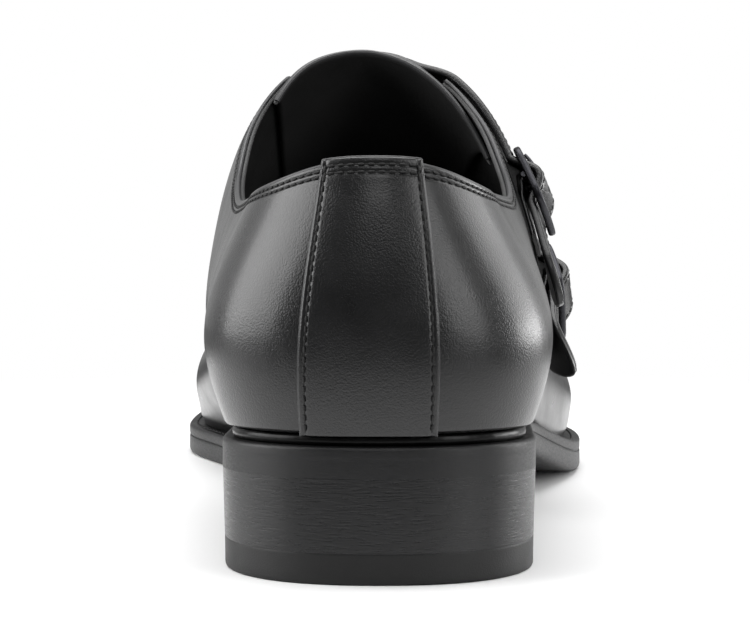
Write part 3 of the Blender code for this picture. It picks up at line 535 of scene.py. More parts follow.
def strap_place(strap, along, sideways):
    """Station and across of a place given along a strap's route and sideways from its middle line.

    The step sideways lies on the surface square to the route. It is shared between a step in station
    and one in across, the two directions in which the surface runs, by solving two equations.
    """
    station, across = on_route(strap, along)
    step_s, step_a, half_step = 0.2, 0.004, 0.5
    here = over_ridge(station, across)
    by_station = (over_ridge(station + step_s, across) - here) / step_s
    by_across = (over_ridge(station, across + step_a) - here) / step_a
    ahead, behind = (over_ridge(*on_route(strap, along + way)) for way in (half_step, -half_step))
    side_way = unit(np.cross(np.cross(by_station, by_across), ahead - behind))
    ss, sa, aa, s_side, a_side = (
        (first * second).sum(-1)
        for first, second in (
            (by_station, by_station), (by_station, by_across), (by_across, by_across),
            (by_station, side_way), (by_across, side_way),
        )
    )
    det = ss * aa - sa * sa
    station = station + sideways * (s_side * aa - a_side * sa) / det
    across = across + sideways * (a_side * ss - s_side * sa) / det
    return station, across


def strap_space(strap, along, sideways, height):
    """Point in a strap's own space: along its route from the bar, sideways from its middle line, and
    height over the upper. Straps, tabs, frames and prongs all lie in it, so they clear each other."""
    along, sideways, height = np.broadcast_arrays(along, sideways, height)
    return over_ridge(*strap_place(strap, along, sideways), height)


def past_edge(strap, side, sideways, gap):
    """Distance along a strap's route where it lies `gap` past the throat's edge on one side.

    The edge is looked for from the start of the route to EDGES_END, which is nearer to the bar.
    """
    near = np.linspace(route_places(strap)[0][0] + 1.0, EDGES_END, 281)
    station, across = strap_place(strap, near, np.full_like(near, sideways))
    open_to = side * (1.0 - top_edge(station, side))
    return near[np.argmax(across > open_to)] + gap


for level, strap in STRAPS.items():
    print(level, "strap is", round(strap[2] - float(route_places(strap)[0][0])), "mm long")

# %% [markdown]
# ## From grids to meshes
# Every piece is one or two grids of points. A sheet of leather is a front grid, a back grid and a wall
# along each free border. The points are moved from the shoe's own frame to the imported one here, once,
# so that no object needs a place of its own.

# %% Grids and sheets
sole_lo, sole_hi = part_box("outsole")
all_round = np.linspace(HEEL_CENTRE, SOLE_LENGTH, 600)
SHIFT = np.array([sole_hi[0] / MM - plan(all_round, LATERAL, 0.0)[0].max(), sole_lo[1] / MM, 0.0])
UP = np.array([0.0, 0.0, 1.0])


def grid_quads(rows, cols):
    """Corner numbers of the quads of a grid, row after row."""
    index = np.arange(rows * cols).reshape(rows, cols)
    return np.stack([index[:-1, :-1], index[1:, :-1], index[1:, 1:], index[:-1, 1:]], axis=-1)


def skin(grid):
    """Points and quads of one grid."""
    return grid.reshape(-1, 3), grid_quads(*grid.shape[:2]).reshape(-1, 4)


def sheet(front, back, kept=None, goes_on=(None, None, None, None)):
    """Points and quads of a sheet between two grids, with a wall along every border of what is kept.

    goes_on has a mask for each border (first column, last row, last column, first row), that is True
    where the sheet goes on in another grid and needs no wall.
    """
    rows, cols = front.shape[:2]
    quads = grid_quads(rows, cols)
    kept = np.ones(quads.shape[:2], bool) if kept is None else kept
    size = rows * cols
    beside = np.pad(kept, 1)
    neighbours = [beside[1:-1, :-2], beside[2:, 1:-1], beside[1:-1, 2:], beside[:-2, 1:-1]]
    made = [quads[kept], quads[kept][:, ::-1] + size]
    for side, (neighbour, further) in enumerate(zip(neighbours, goes_on)):
        free = kept & ~neighbour
        if further is not None:
            free = free & ~further
        start, end = quads[free][:, side], quads[free][:, (side + 1) % 4]
        made.append(np.stack([start, start + size, end + size, end], axis=-1))
    return np.concatenate([front.reshape(-1, 3), back.reshape(-1, 3)]), np.concatenate(made)


def joined(*parts):
    """Several (points, quads) pairs as one."""
    starts = np.cumsum([0] + [len(points) for points, _ in parts[:-1]])
    quads = [quads + start for (_, quads), start in zip(parts, starts)]
    return np.concatenate([points for points, _ in parts]), np.concatenate(quads)


print("the shoe's own frame sits at", np.round(SHIFT, 2), "mm in the packed one")

# %% A finished piece
MERGE = 0.004
FINE_MERGE = 0.0005
SHARP_ANGLE = 35.0


def new_piece(name, points, quads, material, slot, replaced=(), merge=MERGE):
    """A finished piece on body root: doubles merged, faces out, smooth, and standing for CAD nodes."""
    mesh = bpy.data.meshes.new(name)
    mesh.vertices.add(len(points))
    mesh.vertices.foreach_set("co", ((points + SHIFT) * MM).ravel())
    mesh.loops.add(quads.size)
    mesh.loops.foreach_set("vertex_index", quads.ravel())
    mesh.polygons.add(len(quads))
    mesh.polygons.foreach_set("loop_start", np.arange(0, quads.size, 4))
    mesh.update(calc_edges=True)
    work = bmesh.new()
    work.from_mesh(mesh)
    bmesh.ops.remove_doubles(work, verts=work.verts, dist=merge * MM)
    bmesh.ops.dissolve_degenerate(work, edges=work.edges, dist=FINE_MERGE * MM)
    bmesh.ops.recalc_face_normals(work, faces=work.faces)
    open_edges = sum(len(edge.link_faces) != 2 for edge in work.edges)
    work.to_mesh(mesh)
    work.free()
    mesh.shade_smooth()
    mesh.set_sharp_from_angle(angle=math.radians(SHARP_ANGLE))
    mesh.materials.append(material)
    piece = bpy.data.objects.new(name, mesh)
    bpy.context.scene.collection.objects.link(piece)
    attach(piece, "root")
    if replaced:
        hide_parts(*replaced)
    print(f"{name}: {len(mesh.polygons)} faces, {open_edges} open edges")


print("faces that meet at more than", SHARP_ANGLE, "degrees keep a sharp edge")

# %% [markdown]
# ## Nodes and colours
# Materials are written in plain numbers: a hex colour as a paint chart gives it, turned to the linear
# light that the renderer adds up, and patterns sized from real millimetres. One function adds a node,
# and gives its sockets values or links with the help of a smaller one that serves the shader as well.

# %% Material helpers
def linear(code):
    """An sRGB hex colour as linear red, green, blue and alpha: the power curve of the sRGB standard."""
    channels = [int(code[i:i + 2], 16) / 255.0 for i in (1, 3, 5)]
    return tuple(c / 12.92 if c <= 0.04045 else ((c + 0.055) / 1.055) ** 2.4 for c in channels) + (1.0,)


def feed(node, inputs):
    """Gives each named socket of a node its value, or a link from another node's output."""
    for socket, value in inputs.items():
        if isinstance(value, bpy.types.NodeSocket):
            node.id_data.links.new(value, node.inputs[socket])
        else:
            node.inputs[socket].default_value = value


def add(tree, kind, inputs, **settings):
    """Adds a node with its settings and what feeds its sockets."""
    made = tree.nodes.new(kind)
    for name, value in settings.items():
        setattr(made, name, value)
    feed(made, inputs)
    return made


def new_material(name, colour, roughness, **others):
    """A material with its tree, its Principled shader, and its Object coordinates."""
    material = bpy.data.materials.new(name)
    material.use_nodes = True
    material.diffuse_color = linear(colour)
    tree = material.node_tree
    shader = tree.nodes["Principled BSDF"]
    feed(shader, {"Base Color": linear(colour), "Roughness": roughness})
    feed(shader, {socket.replace("_", " "): value for socket, value in others.items()})
    return material, tree, shader, add(tree, "ShaderNodeTexCoord", {}).outputs["Object"]


def per_mm(size):
    """Texture scale whose features are `size` millimetres across, in a scene measured in metres."""
    return 1.0 / (size * MM)


print("near-black #0b0b0c is", round(linear("#0b0b0c")[0], 4), "in linear light")

# %% [markdown]
# ## Black calf
# The upper is box calf: chrome-tanned calfskin, dyed through, with a thin acrylic and wax finish that
# is polished. The eye gets a near-black colour, fine pores half a millimetre apart, a soft unevenness
# a centimetre wide that bends the reflections, and a clear but not mirror-like shine. Bumps of
# hundredths of a millimetre carry the grain; the finish is a thin coat on the shader. The vamp is
# drawn tight over the last, which flattens its grain.

# %% Leather materials
TONE_SIZE = 9.0
SWELL_SIZE = 14.0
GRAIN_SHARE = 0.45
GRAIN_DEPTH_SHARE = 0.6


def roughened(tree, pattern, low, high):
    """A roughness from low to high, from a noise that mostly stays between 0.3 and 0.7."""
    return {"Roughness": add(tree, "ShaderNodeMapRange", {
        "Value": pattern, "From Min": 0.3, "From Max": 0.7, "To Min": low, "To Max": high,
    }).outputs["Result"]}


def toned(tree, pattern, dark, light):
    """A colour between two, mixed by a pattern."""
    tone = add(tree, "ShaderNodeMix", {0: pattern, 6: linear(dark), 7: linear(light)}, data_type="RGBA")
    return {"Base Color": tone.outputs[2]}


def calf(name, dark, light, roughness, coat, pore_mm, pore_depth, swell_depth):
    """Polished leather: two tones mixed by slow noise, pores and slow swells as bumps, and a coat."""
    material, tree, shader, place = new_material(name, dark, roughness)
    slow, grain, swell = (
        add(tree, "ShaderNodeTexNoise", {"Vector": place, "Scale": per_mm(size), "Detail": detail})
        for size, detail in ((TONE_SIZE, 3.0), (GRAIN_SHARE * pore_mm, 2.0), (SWELL_SIZE, 1.0))
    )
    pores = add(tree, "ShaderNodeTexVoronoi", {"Vector": place, "Scale": per_mm(pore_mm)})
    below = {}
    for height, depth in (
        (swell.outputs["Fac"], swell_depth),
        (pores.outputs["Distance"], -pore_depth),
        (grain.outputs["Fac"], GRAIN_DEPTH_SHARE * pore_depth),
    ):
        relief = {"Height": height, "Distance": abs(depth) * MM, **below}
        below = {"Normal": add(tree, "ShaderNodeBump", relief, invert=depth < 0.0).outputs["Normal"]}
    feed(shader, toned(tree, slow.outputs["Fac"], dark, light))
    feed(shader, roughened(tree, slow.outputs["Fac"], roughness - 0.04, roughness + 0.05))
    feed(shader, {"Coat Weight": coat, "Coat Roughness": 0.2, "Coat IOR": 1.45, **below})
    print(f"{name}: pores {pore_mm} mm apart, roughness {roughness}")
    return material


black_calf = calf("black_calf", "#0b0b0c", "#141415", 0.31, 0.35, 0.43, 0.050, 0.16)
vamp_calf = calf("black_lasted_calf", "#0b0b0c", "#141415", 0.31, 0.35, 0.43, 0.014, 0.12)
strap_calf = calf("black_strap_calf", "#0a0a0b", "#121213", 0.34, 0.25, 0.43, 0.045, 0.08)
# painted light: the lining's dark grey is raised above black so the shaded inside of the shoe reads
# lighter
lining_painted_light = calf("black_lining_painted_light", "#2a2a2a", "#363636", 0.52, 0.0, 0.7, 0.030, 0.05)
# painted highlight: this grey stands in for the light caught on rolled and polished edges
edge_highlight_paint = calf("edge_painted_highlight", "#343435", "#424243", 0.40, 0.1, 0.4, 0.010, 0.02)
sock_leather = calf("black_sock_leather", "#0c0b0b", "#131212", 0.55, 0.0, 0.9, 0.030, 0.10)

# %% [markdown]
# ## Sole edges, heel and lift
# The sole is vegetable-tanned leather. Its edges are sanded, inked black and burnished with hot wax,
# which leaves a satin sheen and a trace of the sanding. The heel is a stack of leather lifts, whose
# layers show as fine level streaks. The top lift is moulded black rubber, finely pitted and dull: it
# has leather's recipe with a finer, shallower pit and less reflection.

# %% Sole materials
def streaked(name, dark, light, roughness, streak_mm, depth, along, specular):
    """Burnished leather edge: noise stretched along the edge, as tone, gloss and a shallow bump."""
    material, tree, shader, place = new_material(name, dark, roughness, Specular_IOR_Level=specular)
    flat = add(tree, "ShaderNodeMapping", {"Vector": place, "Scale": (1.0 / along, 1.0 / along, 1.0)})
    streaks = add(tree, "ShaderNodeTexNoise", {
        "Vector": flat.outputs["Vector"], "Scale": per_mm(streak_mm), "Detail": 4.0, "Roughness": 0.62,
    }).outputs["Fac"]
    bump = add(tree, "ShaderNodeBump", {"Height": streaks, "Distance": depth * MM})
    feed(shader, toned(tree, streaks, dark, light))
    feed(shader, roughened(tree, streaks, roughness - 0.07, roughness + 0.09))
    feed(shader, {"Normal": bump.outputs["Normal"]})
    print(f"{name}: streaks {streak_mm} mm high and {round(streak_mm * along, 1)} mm long")
    return material


sole_edge = streaked("burnished_sole_edge", "#0d0d0e", "#171718", 0.46, 0.4, 0.025, 3.0, 0.42)
heel_leather = streaked("stacked_heel_leather", "#070708", "#1b1b1c", 0.30, 0.34, 0.11, 11.0, 0.40)
rubber = calf("moulded_lift_rubber", "#0a0a0a", "#131313", 0.50, 0.0, 0.4, 0.025, 0.02)
feed(rubber.node_tree.nodes["Principled BSDF"], {"Specular IOR Level": 0.36})

# %% [markdown]
# ## Thread, wax, metal and elastic
# Four finishes need only one noise for their relief. The thread is waxed black polyester, duller than
# the leather. Burnishing wax fills the joint over the heel, smooth but for the drag of the iron. The
# buckles are steel plated in dark gunmetal and brushed: a metal of dark grey colour, with fine
# scratches that also vary its gloss. The elastic is a dull, coarse web.

# %% Thread, wax, metal and elastic materials
def one_grain(name, colour, roughness, grain_mm, detail, depth, **others):
    """A material of one colour whose relief is one noise; returns the noise and shader for more."""
    material, tree, shader, place = new_material(name, colour, roughness, **others)
    noise = {"Vector": place, "Scale": per_mm(grain_mm), "Detail": detail}
    grain = add(tree, "ShaderNodeTexNoise", noise).outputs["Fac"]
    bump = add(tree, "ShaderNodeBump", {"Height": grain, "Distance": depth * MM})
    feed(shader, {"Normal": bump.outputs["Normal"]})
    print(f"{name}: grain of {grain_mm} mm, {depth} mm deep")
    return material, tree, shader, grain


thread = one_grain("waxed_black_thread", "#030303", 0.6, 0.25, 1.0, 0.04)[0]
# painted shade: near-black with weak reflection, so the shaded joint over the heel reads as one black
# band
wax_painted_shade = one_grain("black_wax_painted_shade", "#040404", 0.3, 3.0, 2.0, 0.15, Specular_IOR_Level=0.22)[0]
# painted shade: a black web that fills the gap under each strap's rise to its buckle
web_painted_shade = one_grain("black_web_painted_shade", "#070707", 0.75, 0.5, 1.0, 0.08)[0]
gunmetal, metal_tree, metal_shader, scratch = one_grain(
    "brushed_gunmetal", "#3a3a3d", 0.34, 0.3, 4.0, 0.01, Metallic=1.0)
feed(metal_shader, roughened(metal_tree, scratch, 0.27, 0.44))

# %% [markdown]
# ## Edges of leather
# A cut edge of leather is sanded round. Near a border the sheet's two faces close on a half circle:
# at a distance d from the border, each face lies r minus the square root of r squared minus (r - d)
# squared short of its full height. Rows crowd together there so that the roundness shows. Stitches
# lie in furrows that the thread has pulled, each a bell curve across.

# %% Rounded edges and furrows
FURROW_WIDTH = 0.36
FURROW_DEPTH = 0.24

# Distances from an edge at which a grid has its rows
EDGE_ROWS = np.array([
    6.0, 5.0, 4.2, 3.6, 3.2, 2.95, 2.75, 2.6, 2.45, 2.3, 2.1, 1.85, 1.65, 1.5, 1.38, 1.26, 1.14, 1.0,
    0.85, 0.7, 0.55, 0.42, 0.3, 0.2, 0.1, 0.04, 0.0,
])


def edge_drop(distance, radius):
    """How far a face falls towards the middle of the sheet at a distance from its border."""
    inside = np.clip(radius - distance, 0.0, radius)
    return radius - np.sqrt(np.maximum(radius ** 2 - inside ** 2, 0.0))


def furrows(distance, rows, depth=FURROW_DEPTH, width=FURROW_WIDTH):
    """Round furrows at some distances: minus the depth times the bell curve of the way to each."""
    return sum(-depth * np.exp(-((distance - row) / width) ** 2) for row in rows)


def edge_to_edge(half_width, inner, count):
    """Shares across a piece from -1 to 1, crowded at both edges and even between -inner and inner."""
    even = np.linspace(-inner, inner, count)[1:-1]
    return np.concatenate([-1.0 + EDGE_ROWS[::-1] / half_width, even, 1.0 - EDGE_ROWS / half_width])


def both_ways(half):
    """Half widths, widest first, as places from one edge to the other."""
    return np.concatenate([-half, half[::-1]])


print("rows to an edge:", len(EDGE_ROWS))

# %% [markdown]
# ## Quarters
# The quarters wrap the heel and meet the vamp in a swept seam. They are cut from 1.2 mm calf. Two
# rows of stitches run under the topline, each in its own furrow, and the topline is rolled. At the
# foot the leather turns in over the edge of the last, which leaves a dark groove above the welt.
# Towards the throat the edge is shaved, or skived, so that it lies close to the tongue.

# %% Columns of the quarters
QUARTER_SEAM = 170.0
SEAM_SWEEP = 34.0
SEAM_SPREAD = 45.0
EDGE_STEP = 0.05


def swept(top, share):
    """Station at a share of the height of the column whose top has the station `top`.

    The foot is swept back by a bell curve of the way from the seam, and the column bends as the share
    to the power 1.5. The columns at the heel's back and at the toe stay upright.
    """
    sweep = SEAM_SWEEP * np.exp(-(((top - QUARTER_SEAM) / SEAM_SPREAD) ** 2))
    foot = np.where((top <= 0.0) | (top >= SOLE_LENGTH), top, top - sweep)
    return foot + (top - foot) * share ** 1.5


def edge_scale(tops, edge, side):
    """How much of v a millimetre is, just below the top edge."""
    low = np.maximum(edge - EDGE_STEP, 0.0)
    near = upper_surface(tops, edge, side) - upper_surface(tops, low, side)
    return EDGE_STEP / np.linalg.norm(near, axis=-1)


def below_edge(tops, side, depth):
    """v at a depth below the top edge."""
    edge = top_edge(tops, side)
    return edge - depth * edge_scale(tops, edge, side)


def rows_to_edge(tops, side, low_rows, beyond=0.0):
    """Stations, v and depth below the edge of a grid whose rows crowd towards the top edge.

    Below those the rows climb as 0.35 times the share of the way plus 0.65 times its square. beyond
    carries the grid that many millimetres past the upper's own edge.
    """
    edge = top_edge(tops, side)
    scale = np.minimum(edge_scale(tops, edge, side), 0.5 * edge / EDGE_ROWS[0])
    edge = np.minimum(edge + beyond * scale, 1.0)[:, None]
    scale = scale[:, None]
    climb = np.linspace(0.0, 1.0, low_rows, endpoint=False)
    low = (edge - EDGE_ROWS[0] * scale) * (0.35 * climb + 0.65 * climb ** 2)
    v = np.concatenate([low, edge - EDGE_ROWS * scale], axis=1)
    return swept(tops[:, None], v / edge), v, (edge - v) / scale


print("seam between quarter and vamp meets the ridge at station", QUARTER_SEAM)

# %% Foot and throat of the quarters
TURN_HEIGHT = 2.0
FLARE_HEIGHT = 5.0
SKIVE = 0.7
SKIVE_REACH = 12.0
SKIVE_START = 98.0
SKIVE_GROWTH = 14.0

# How the leather meets the welt: turned in under itself, or flared out on to it
FOOT_EDGE = (
    # station, turn, flare
    (0.0, 2.6, 0.0),
    (70.0, 2.6, 0.0),
    (130.0, 0.9, 0.0),
    (165.0, 0.4, 0.5),
    (215.0, 0.3, 1.5),
    (250.0, 0.3, 1.0),
    (302.0, 0.4, 0.0),
)


def foot_turn(station, v, side):
    """How far the leather stands out close to its foot: a steep bell curve of height inward, and a
    wide one outward, each as deep as FOOT_EDGE says."""
    rise = upper_surface(station, v, side)[..., 2] - upper_surface(station, 0.0 * v, side)[..., 2]
    turn, flare = columns(FOOT_EDGE, station)
    return flare * np.exp(-(rise / FLARE_HEIGHT) ** 2) - turn * np.exp(-(rise / TURN_HEIGHT) ** 4)


def skived(station, depth):
    """How much thinner the leather is shaved towards the throat, where it lies against the tongue."""
    near_edge = smooth_step((SKIVE_REACH - depth) / SKIVE_REACH)
    return SKIVE * near_edge * smooth_step((station - SKIVE_START) / SKIVE_GROWTH)


print("leather turns in by", FOOT_EDGE[0][1], "mm over the heel")

# %% Quarter surface
QUARTER_THICKNESS = 1.2
QUARTER_EDGE = 0.55
STITCH_ROWS = (1.32, 2.52)
SEAM_ROWS = (1.4, 2.6)
seam_near = QUARTER_SEAM - np.array([
    9.0, 7.5, 6.0, 5.0, 4.2, 3.5, 3.0, 2.6, 2.2, 1.8, 1.4, 1.0, 0.7, 0.45, 0.25, 0.1, 0.0,
])
quarter_tops = np.concatenate([runs(0.0, 36, HEEL_CENTRE, 95, QUARTER_SEAM - 10.0), seam_near])


def quarter_faces(side):
    """Outer and inner grids of one quarter, from the back of the heel to the seam with the vamp."""
    station, v, depth = rows_to_edge(quarter_tops, side, 66)
    to_seam = (QUARTER_SEAM - quarter_tops)[:, None]
    round_off = np.maximum(edge_drop(depth, QUARTER_EDGE), edge_drop(to_seam, QUARTER_EDGE))
    turn = foot_turn(station, v, side)
    sunk = furrows(depth, STITCH_ROWS) + furrows(to_seam, SEAM_ROWS)
    sunk = sunk - round_off - skived(quarter_tops[:, None], depth)
    return two_faces(station, v, side, sunk + turn, round_off - QUARTER_THICKNESS + turn)


quarters = [around_heel(*halves) for halves in zip(quarter_faces(MEDIAL), quarter_faces(LATERAL))]
new_piece("quarters", *sheet(*quarters), black_calf, "upper_leather", ("upper",))

# %% [markdown]
# ## Vamp
# The vamp covers the toes and the instep up to the throat, and goes in under the quarters, which are
# stitched down on it. Its surface lies one leather lower than theirs. Over the toes it is drawn tight
# on the last and shows no seam: its two halves share their points on the ridge.

# %% Vamp surface
VAMP_STEP = 1.0
VAMP_TUCK = 8.0
VAMP_TUCK_DEPTH = 0.3
VAMP_EDGE = 0.6
INNER_TURN = 0.75
vamp_tops = to_toe(runs(QUARTER_SEAM - VAMP_TUCK, 40, VAMP_POINT, 60, TOE_START), 48)
vamp_closed = top_edge(vamp_tops, LATERAL) >= 1.0


def vamp_faces(side):
    """Outer and inner grids of one half of the vamp, from under the quarter to the toe."""
    station, v, depth = rows_to_edge(vamp_tops, side, 60)
    tuck = VAMP_TUCK_DEPTH * smooth_step((QUARTER_SEAM + 1.0 - vamp_tops) / 4.0)[:, None]
    round_off = np.where(vamp_closed[:, None], 0.0, edge_drop(depth, VAMP_EDGE))
    turn = foot_turn(station, v, side)
    outer = turn - VAMP_STEP - tuck - round_off
    return np.stack(two_faces(station, v, side, outer, round_off + INNER_TURN * turn - WALL))


halves = [vamp_faces(side) for side in (LATERAL, MEDIAL)]
ridge = 0.5 * (halves[0][:, vamp_closed, -1] + halves[1][:, vamp_closed, -1])
vamp_parts = []
for half in halves:
    half[:, vamp_closed, -1] = ridge
    cells = (half.shape[1] - 1, half.shape[2] - 1)
    at_toe = np.broadcast_to(np.arange(cells[0])[:, None] == cells[0] - 1, cells)
    at_ridge = np.broadcast_to(vamp_closed[:-1, None], cells)
    vamp_parts.append(sheet(*half, goes_on=(None, at_toe, at_ridge, None)))
new_piece("vamp", *joined(*vamp_parts), vamp_calf, "upper_leather", ("upper",))

# %% [markdown]
# ## Lining
# Inside the quarters lies a thinner lining of the same calf, dull and unpolished. Its dark grey,
# lighter than the black calf, is painted light for the shaded inside of the shoe. Its edge stands a
# little above the quarter's, as a fine bead along the topline.

# %% Lining surface
LINING_BEAD = 0.1
LINING_EDGE = 0.5
LINING_GAP = 0.05
lining_tops = runs(0.0, 24, HEEL_CENTRE, 89, QUARTER_SEAM + 4.0)


def lining_faces(side):
    """Outer and inner grids of one side of the lining, carried past the quarter's edge."""
    station, v, depth = rows_to_edge(lining_tops, side, 50, LINING_BEAD)
    round_off = edge_drop(depth, LINING_EDGE)
    turn = foot_turn(station, v, side)
    outer = turn - QUARTER_THICKNESS - LINING_GAP - round_off
    return two_faces(station, v, side, outer, round_off + INNER_TURN * turn - WALL)


lining = [around_heel(*halves) for halves in zip(lining_faces(MEDIAL), lining_faces(LATERAL))]
new_piece("quarter_lining", *sheet(*lining), lining_painted_light, "upper_leather", ("upper",))

# %% [markdown]
# ## Heel strip
# A narrow strip covers the back seam. It widens towards the sole, its edges are skived thin and catch
# the light, and it ends a little above the topline. Stitches run a millimetre inside each edge, and
# two rows cross its top.

# %% Heel strip surface
STRIP_TOP_CENTRE = -0.75
STRIP_FOOT_CENTRE = -2.1
STRIP_TOP_HALF_WIDTH = 11.2
STRIP_FOOT_HALF_WIDTH = 13.8
STRIP_TOP_RISE = 0.7
STRIP_HEIGHT = 1.05
STRIP_LENGTH = 58.0
STRIP_MEAN_HALF_WIDTH = 12.0
STRIP_FOOT = 2.0
STRIP_EDGE = 0.45
STRIP_STITCH = 1.1
STRIP_FURROW = 0.2
STRIP_CLEARANCE = 0.03
strip_low = (STRIP_FOOT + np.array([0.0, 0.05, 0.12, 0.22, 0.35, 0.5, 0.8, 1.2, 1.8])) / STRIP_LENGTH
strip_high = 1.0 - EDGE_ROWS / STRIP_LENGTH
strip_rise = np.concatenate([strip_low, runs(strip_low[-1], 59, strip_high[0])[1:-1], strip_high])


def strip_half(rise):
    """Half the strip's width at a share of its height."""
    return STRIP_FOOT_HALF_WIDTH + (STRIP_TOP_HALF_WIDTH - STRIP_FOOT_HALF_WIDTH) * rise


def strip_point(share, rise, height):
    """Place on the heel strip: share across from edge to edge, rise from foot to top, height above."""
    out = STRIP_FOOT_CENTRE + (STRIP_TOP_CENTRE - STRIP_FOOT_CENTRE) * rise + share * strip_half(rise)
    near = np.linspace(0.0, 0.6 * HEEL_CENTRE, 60)

    def of_side(side):
        station = heel_station(np.clip(side * out, 0.0, HEEL_CENTRE))
        edge = np.interp(station, near, top_edge(near, side))
        return upper_offset(station, edge * rise, side, height)

    point = by_side(out, of_side)
    point[..., 2] += STRIP_TOP_RISE * smooth_step((rise - 0.9) / 0.1)
    return point


share, rise = edge_to_edge(STRIP_MEAN_HALF_WIDTH, 0.5, 17)[:, None], strip_rise[None]
strip_in = (1.0 - np.abs(share)) * strip_half(rise)
strip_down = (1.0 - rise) * STRIP_LENGTH
strip_up = rise * STRIP_LENGTH - STRIP_FOOT
strip_round = edge_drop(np.minimum(np.minimum(strip_in, strip_down), strip_up), STRIP_EDGE)
strip_sunk = furrows(strip_in, (STRIP_STITCH,), STRIP_FURROW)
strip_sunk = strip_sunk + furrows(strip_down, STITCH_ROWS, STRIP_FURROW)
strip_front = strip_point(share, rise, STRIP_HEIGHT + strip_sunk - strip_round)
strip_mesh = sheet(strip_front, strip_point(share, rise, STRIP_CLEARANCE))
new_piece("heel_strip_leather", *strip_mesh, black_calf, "upper_leather", ("heel_strip",))

# %% [markdown]
# ## Tongue
# The tongue closes the throat from inside and stands above the upper strap. It is one soft piece of
# calf with a rounded edge and a row of stitches below its top. It is padded a little under the
# straps, towards the outer side, so that no gap shows between it and them.

# %% Tongue surface
TONGUE_THICKNESS = 1.6
TONGUE_TOP_HALF_WIDTH = 26.0
TONGUE_EXTRA_LATERAL = 4.0
TONGUE_END_HALF_WIDTH = 20.0
TONGUE_SIDE_DROP = 14.5
TONGUE_TOP_ROUNDNESS = 2.2
TONGUE_END = 190.0
TONGUE_SPREAD = 2.2
TONGUE_LENGTH = 70.0
TONGUE_UNDER = WALL + 0.25
TONGUE_EDGE = 0.8
TONGUE_STITCH = 2.2
TONGUE_PAD = 0.8
PAD_CENTRE = 0.33
across = edge_to_edge(TONGUE_TOP_HALF_WIDTH, 0.76, 29)[:, None]
down = np.concatenate([
    EDGE_ROWS[::-1] / TONGUE_LENGTH, np.linspace(EDGE_ROWS[0] / TONGUE_LENGTH, 1.0, 50)[1:],
])[None]


def tongue_point(across, down, height):
    """Place on the tongue: across from edge to edge, down from its top to its end under the vamp."""
    top = THROAT_TOP - TONGUE_SIDE_DROP * np.abs(across) ** TONGUE_TOP_ROUNDNESS
    station = top + (TONGUE_END - top) * down
    wide = TONGUE_TOP_HALF_WIDTH + (TONGUE_EXTRA_LATERAL + TONGUE_SPREAD) * np.maximum(across, 0.0)
    reach = np.abs(across) * (wide + (TONGUE_END_HALF_WIDTH - wide) * down)

    def of_side(side):
        v = v_at_reach(station.ravel(), side, reach.ravel()).reshape(station.shape)
        return upper_offset(station, v, side, height)

    return by_side(across, of_side)


tongue_in = (1.0 - np.abs(across)) * TONGUE_TOP_HALF_WIDTH
tongue_down = down * TONGUE_LENGTH
tongue_round = np.maximum(edge_drop(tongue_in, TONGUE_EDGE), edge_drop(tongue_down, TONGUE_EDGE))
pad = TONGUE_PAD * (1.0 - smooth_step(np.abs(across - PAD_CENTRE) / PAD_CENTRE))
furrow = furrows(tongue_down, (TONGUE_STITCH,), 0.12, 0.35)
tongue_front, tongue_middle, tongue_back = (tongue_point(across, down, height) for height in (
    furrow + pad - TONGUE_UNDER - tongue_round,
    0.4 * tongue_round - TONGUE_UNDER - 0.6 * TONGUE_THICKNESS,
    tongue_round - TONGUE_UNDER - TONGUE_THICKNESS,
))
tongue_mesh = sheet(tongue_front, tongue_middle)
new_piece("tongue_leather", *tongue_mesh, black_calf, "upper_leather", ("tongue",))
# the tongue's lining has the same painted light
new_piece("tongue_lining", *sheet(tongue_middle, tongue_back), lining_painted_light, "upper_leather")

# %% [markdown]
# ## Straps
# Each strap is two layers of calf, glued and stitched along both edges, cut from the inner quarter.
# It rises over the outer quarter's edge, runs under the front of the buckle, over its bar and under
# its back, and its tip springs away from the shoe. The shaved edge of the outer quarter gives way
# under the strap for a few millimetres, so the strap begins to rise past it.

# %% Height and width of a strap
STRAP_THICKNESS = 1.9
TIP_LENGTH = 9.0
TIP_SHARPNESS = 1.7
TIP_SPRING = 2.6
PRONG_SLOT = (-3.6, 1.0)
PRONG_SLOT_HALF_WIDTH = 1.25
RISE_BEFORE_EDGE = 1.5
STRAP_SUNK = 2.4
STRAP_RISING = 11.0
STITCH_INSET = 1.5
PRESSED_EDGE = 5.0
STRAP_EDGE_RADIUS = 0.75

# Height of the strap's lower face over the upper, by distance from the buckle's bar
STRAP_LIFT = (
    # from_bar, lift
    (-13.0, 0.5),
    (-7.5, 0.5),
    (0.0, 5.6),
    (7.5, 1.7),
    (13.0, 1.7),
)

HUMP_START, HUMP_END = STRAP_LIFT[0][0], STRAP_LIFT[-1][0]


def eased(table, at):
    """Second column of a table, easing level to level with no slope at its rows."""
    rows = np.array(table)
    place = np.interp(at, rows[:, 0], np.arange(len(rows)))
    low = np.minimum(place.astype(int), len(rows) - 2)
    share = smooth_step(place - low)
    return rows[low, 1] * (1.0 - share) + rows[low + 1, 1] * share


def strap_lift(strap):
    """The height of a strap's lower face as a function of the distance from the bar."""
    lines = (-STRAP_HALF_WIDTH, 0.0, STRAP_HALF_WIDTH)
    over = min(past_edge(strap, LATERAL, line, -RISE_BEFORE_EDGE) for line in lines) + PRESSED_EDGE
    tip_reach, tip_flare = strap[2:]

    def lift(at):
        sunk = STRAP_SUNK * smooth_step((over - at) / STRAP_RISING)
        freed = np.clip((at - HUMP_END) / (tip_reach - HUMP_END), 0.0, 1.0)
        return eased(STRAP_LIFT, at) - sunk + tip_flare * freed ** TIP_SPRING

    return lift


def strap_tilt(lift, along):
    """Slope of the strap's lower face along its route, and the cosine of that slope's angle."""
    slope = (lift(along + 0.1) - lift(along - 0.1)) / 0.2
    return slope, 1.0 / np.sqrt(1.0 + slope ** 2)


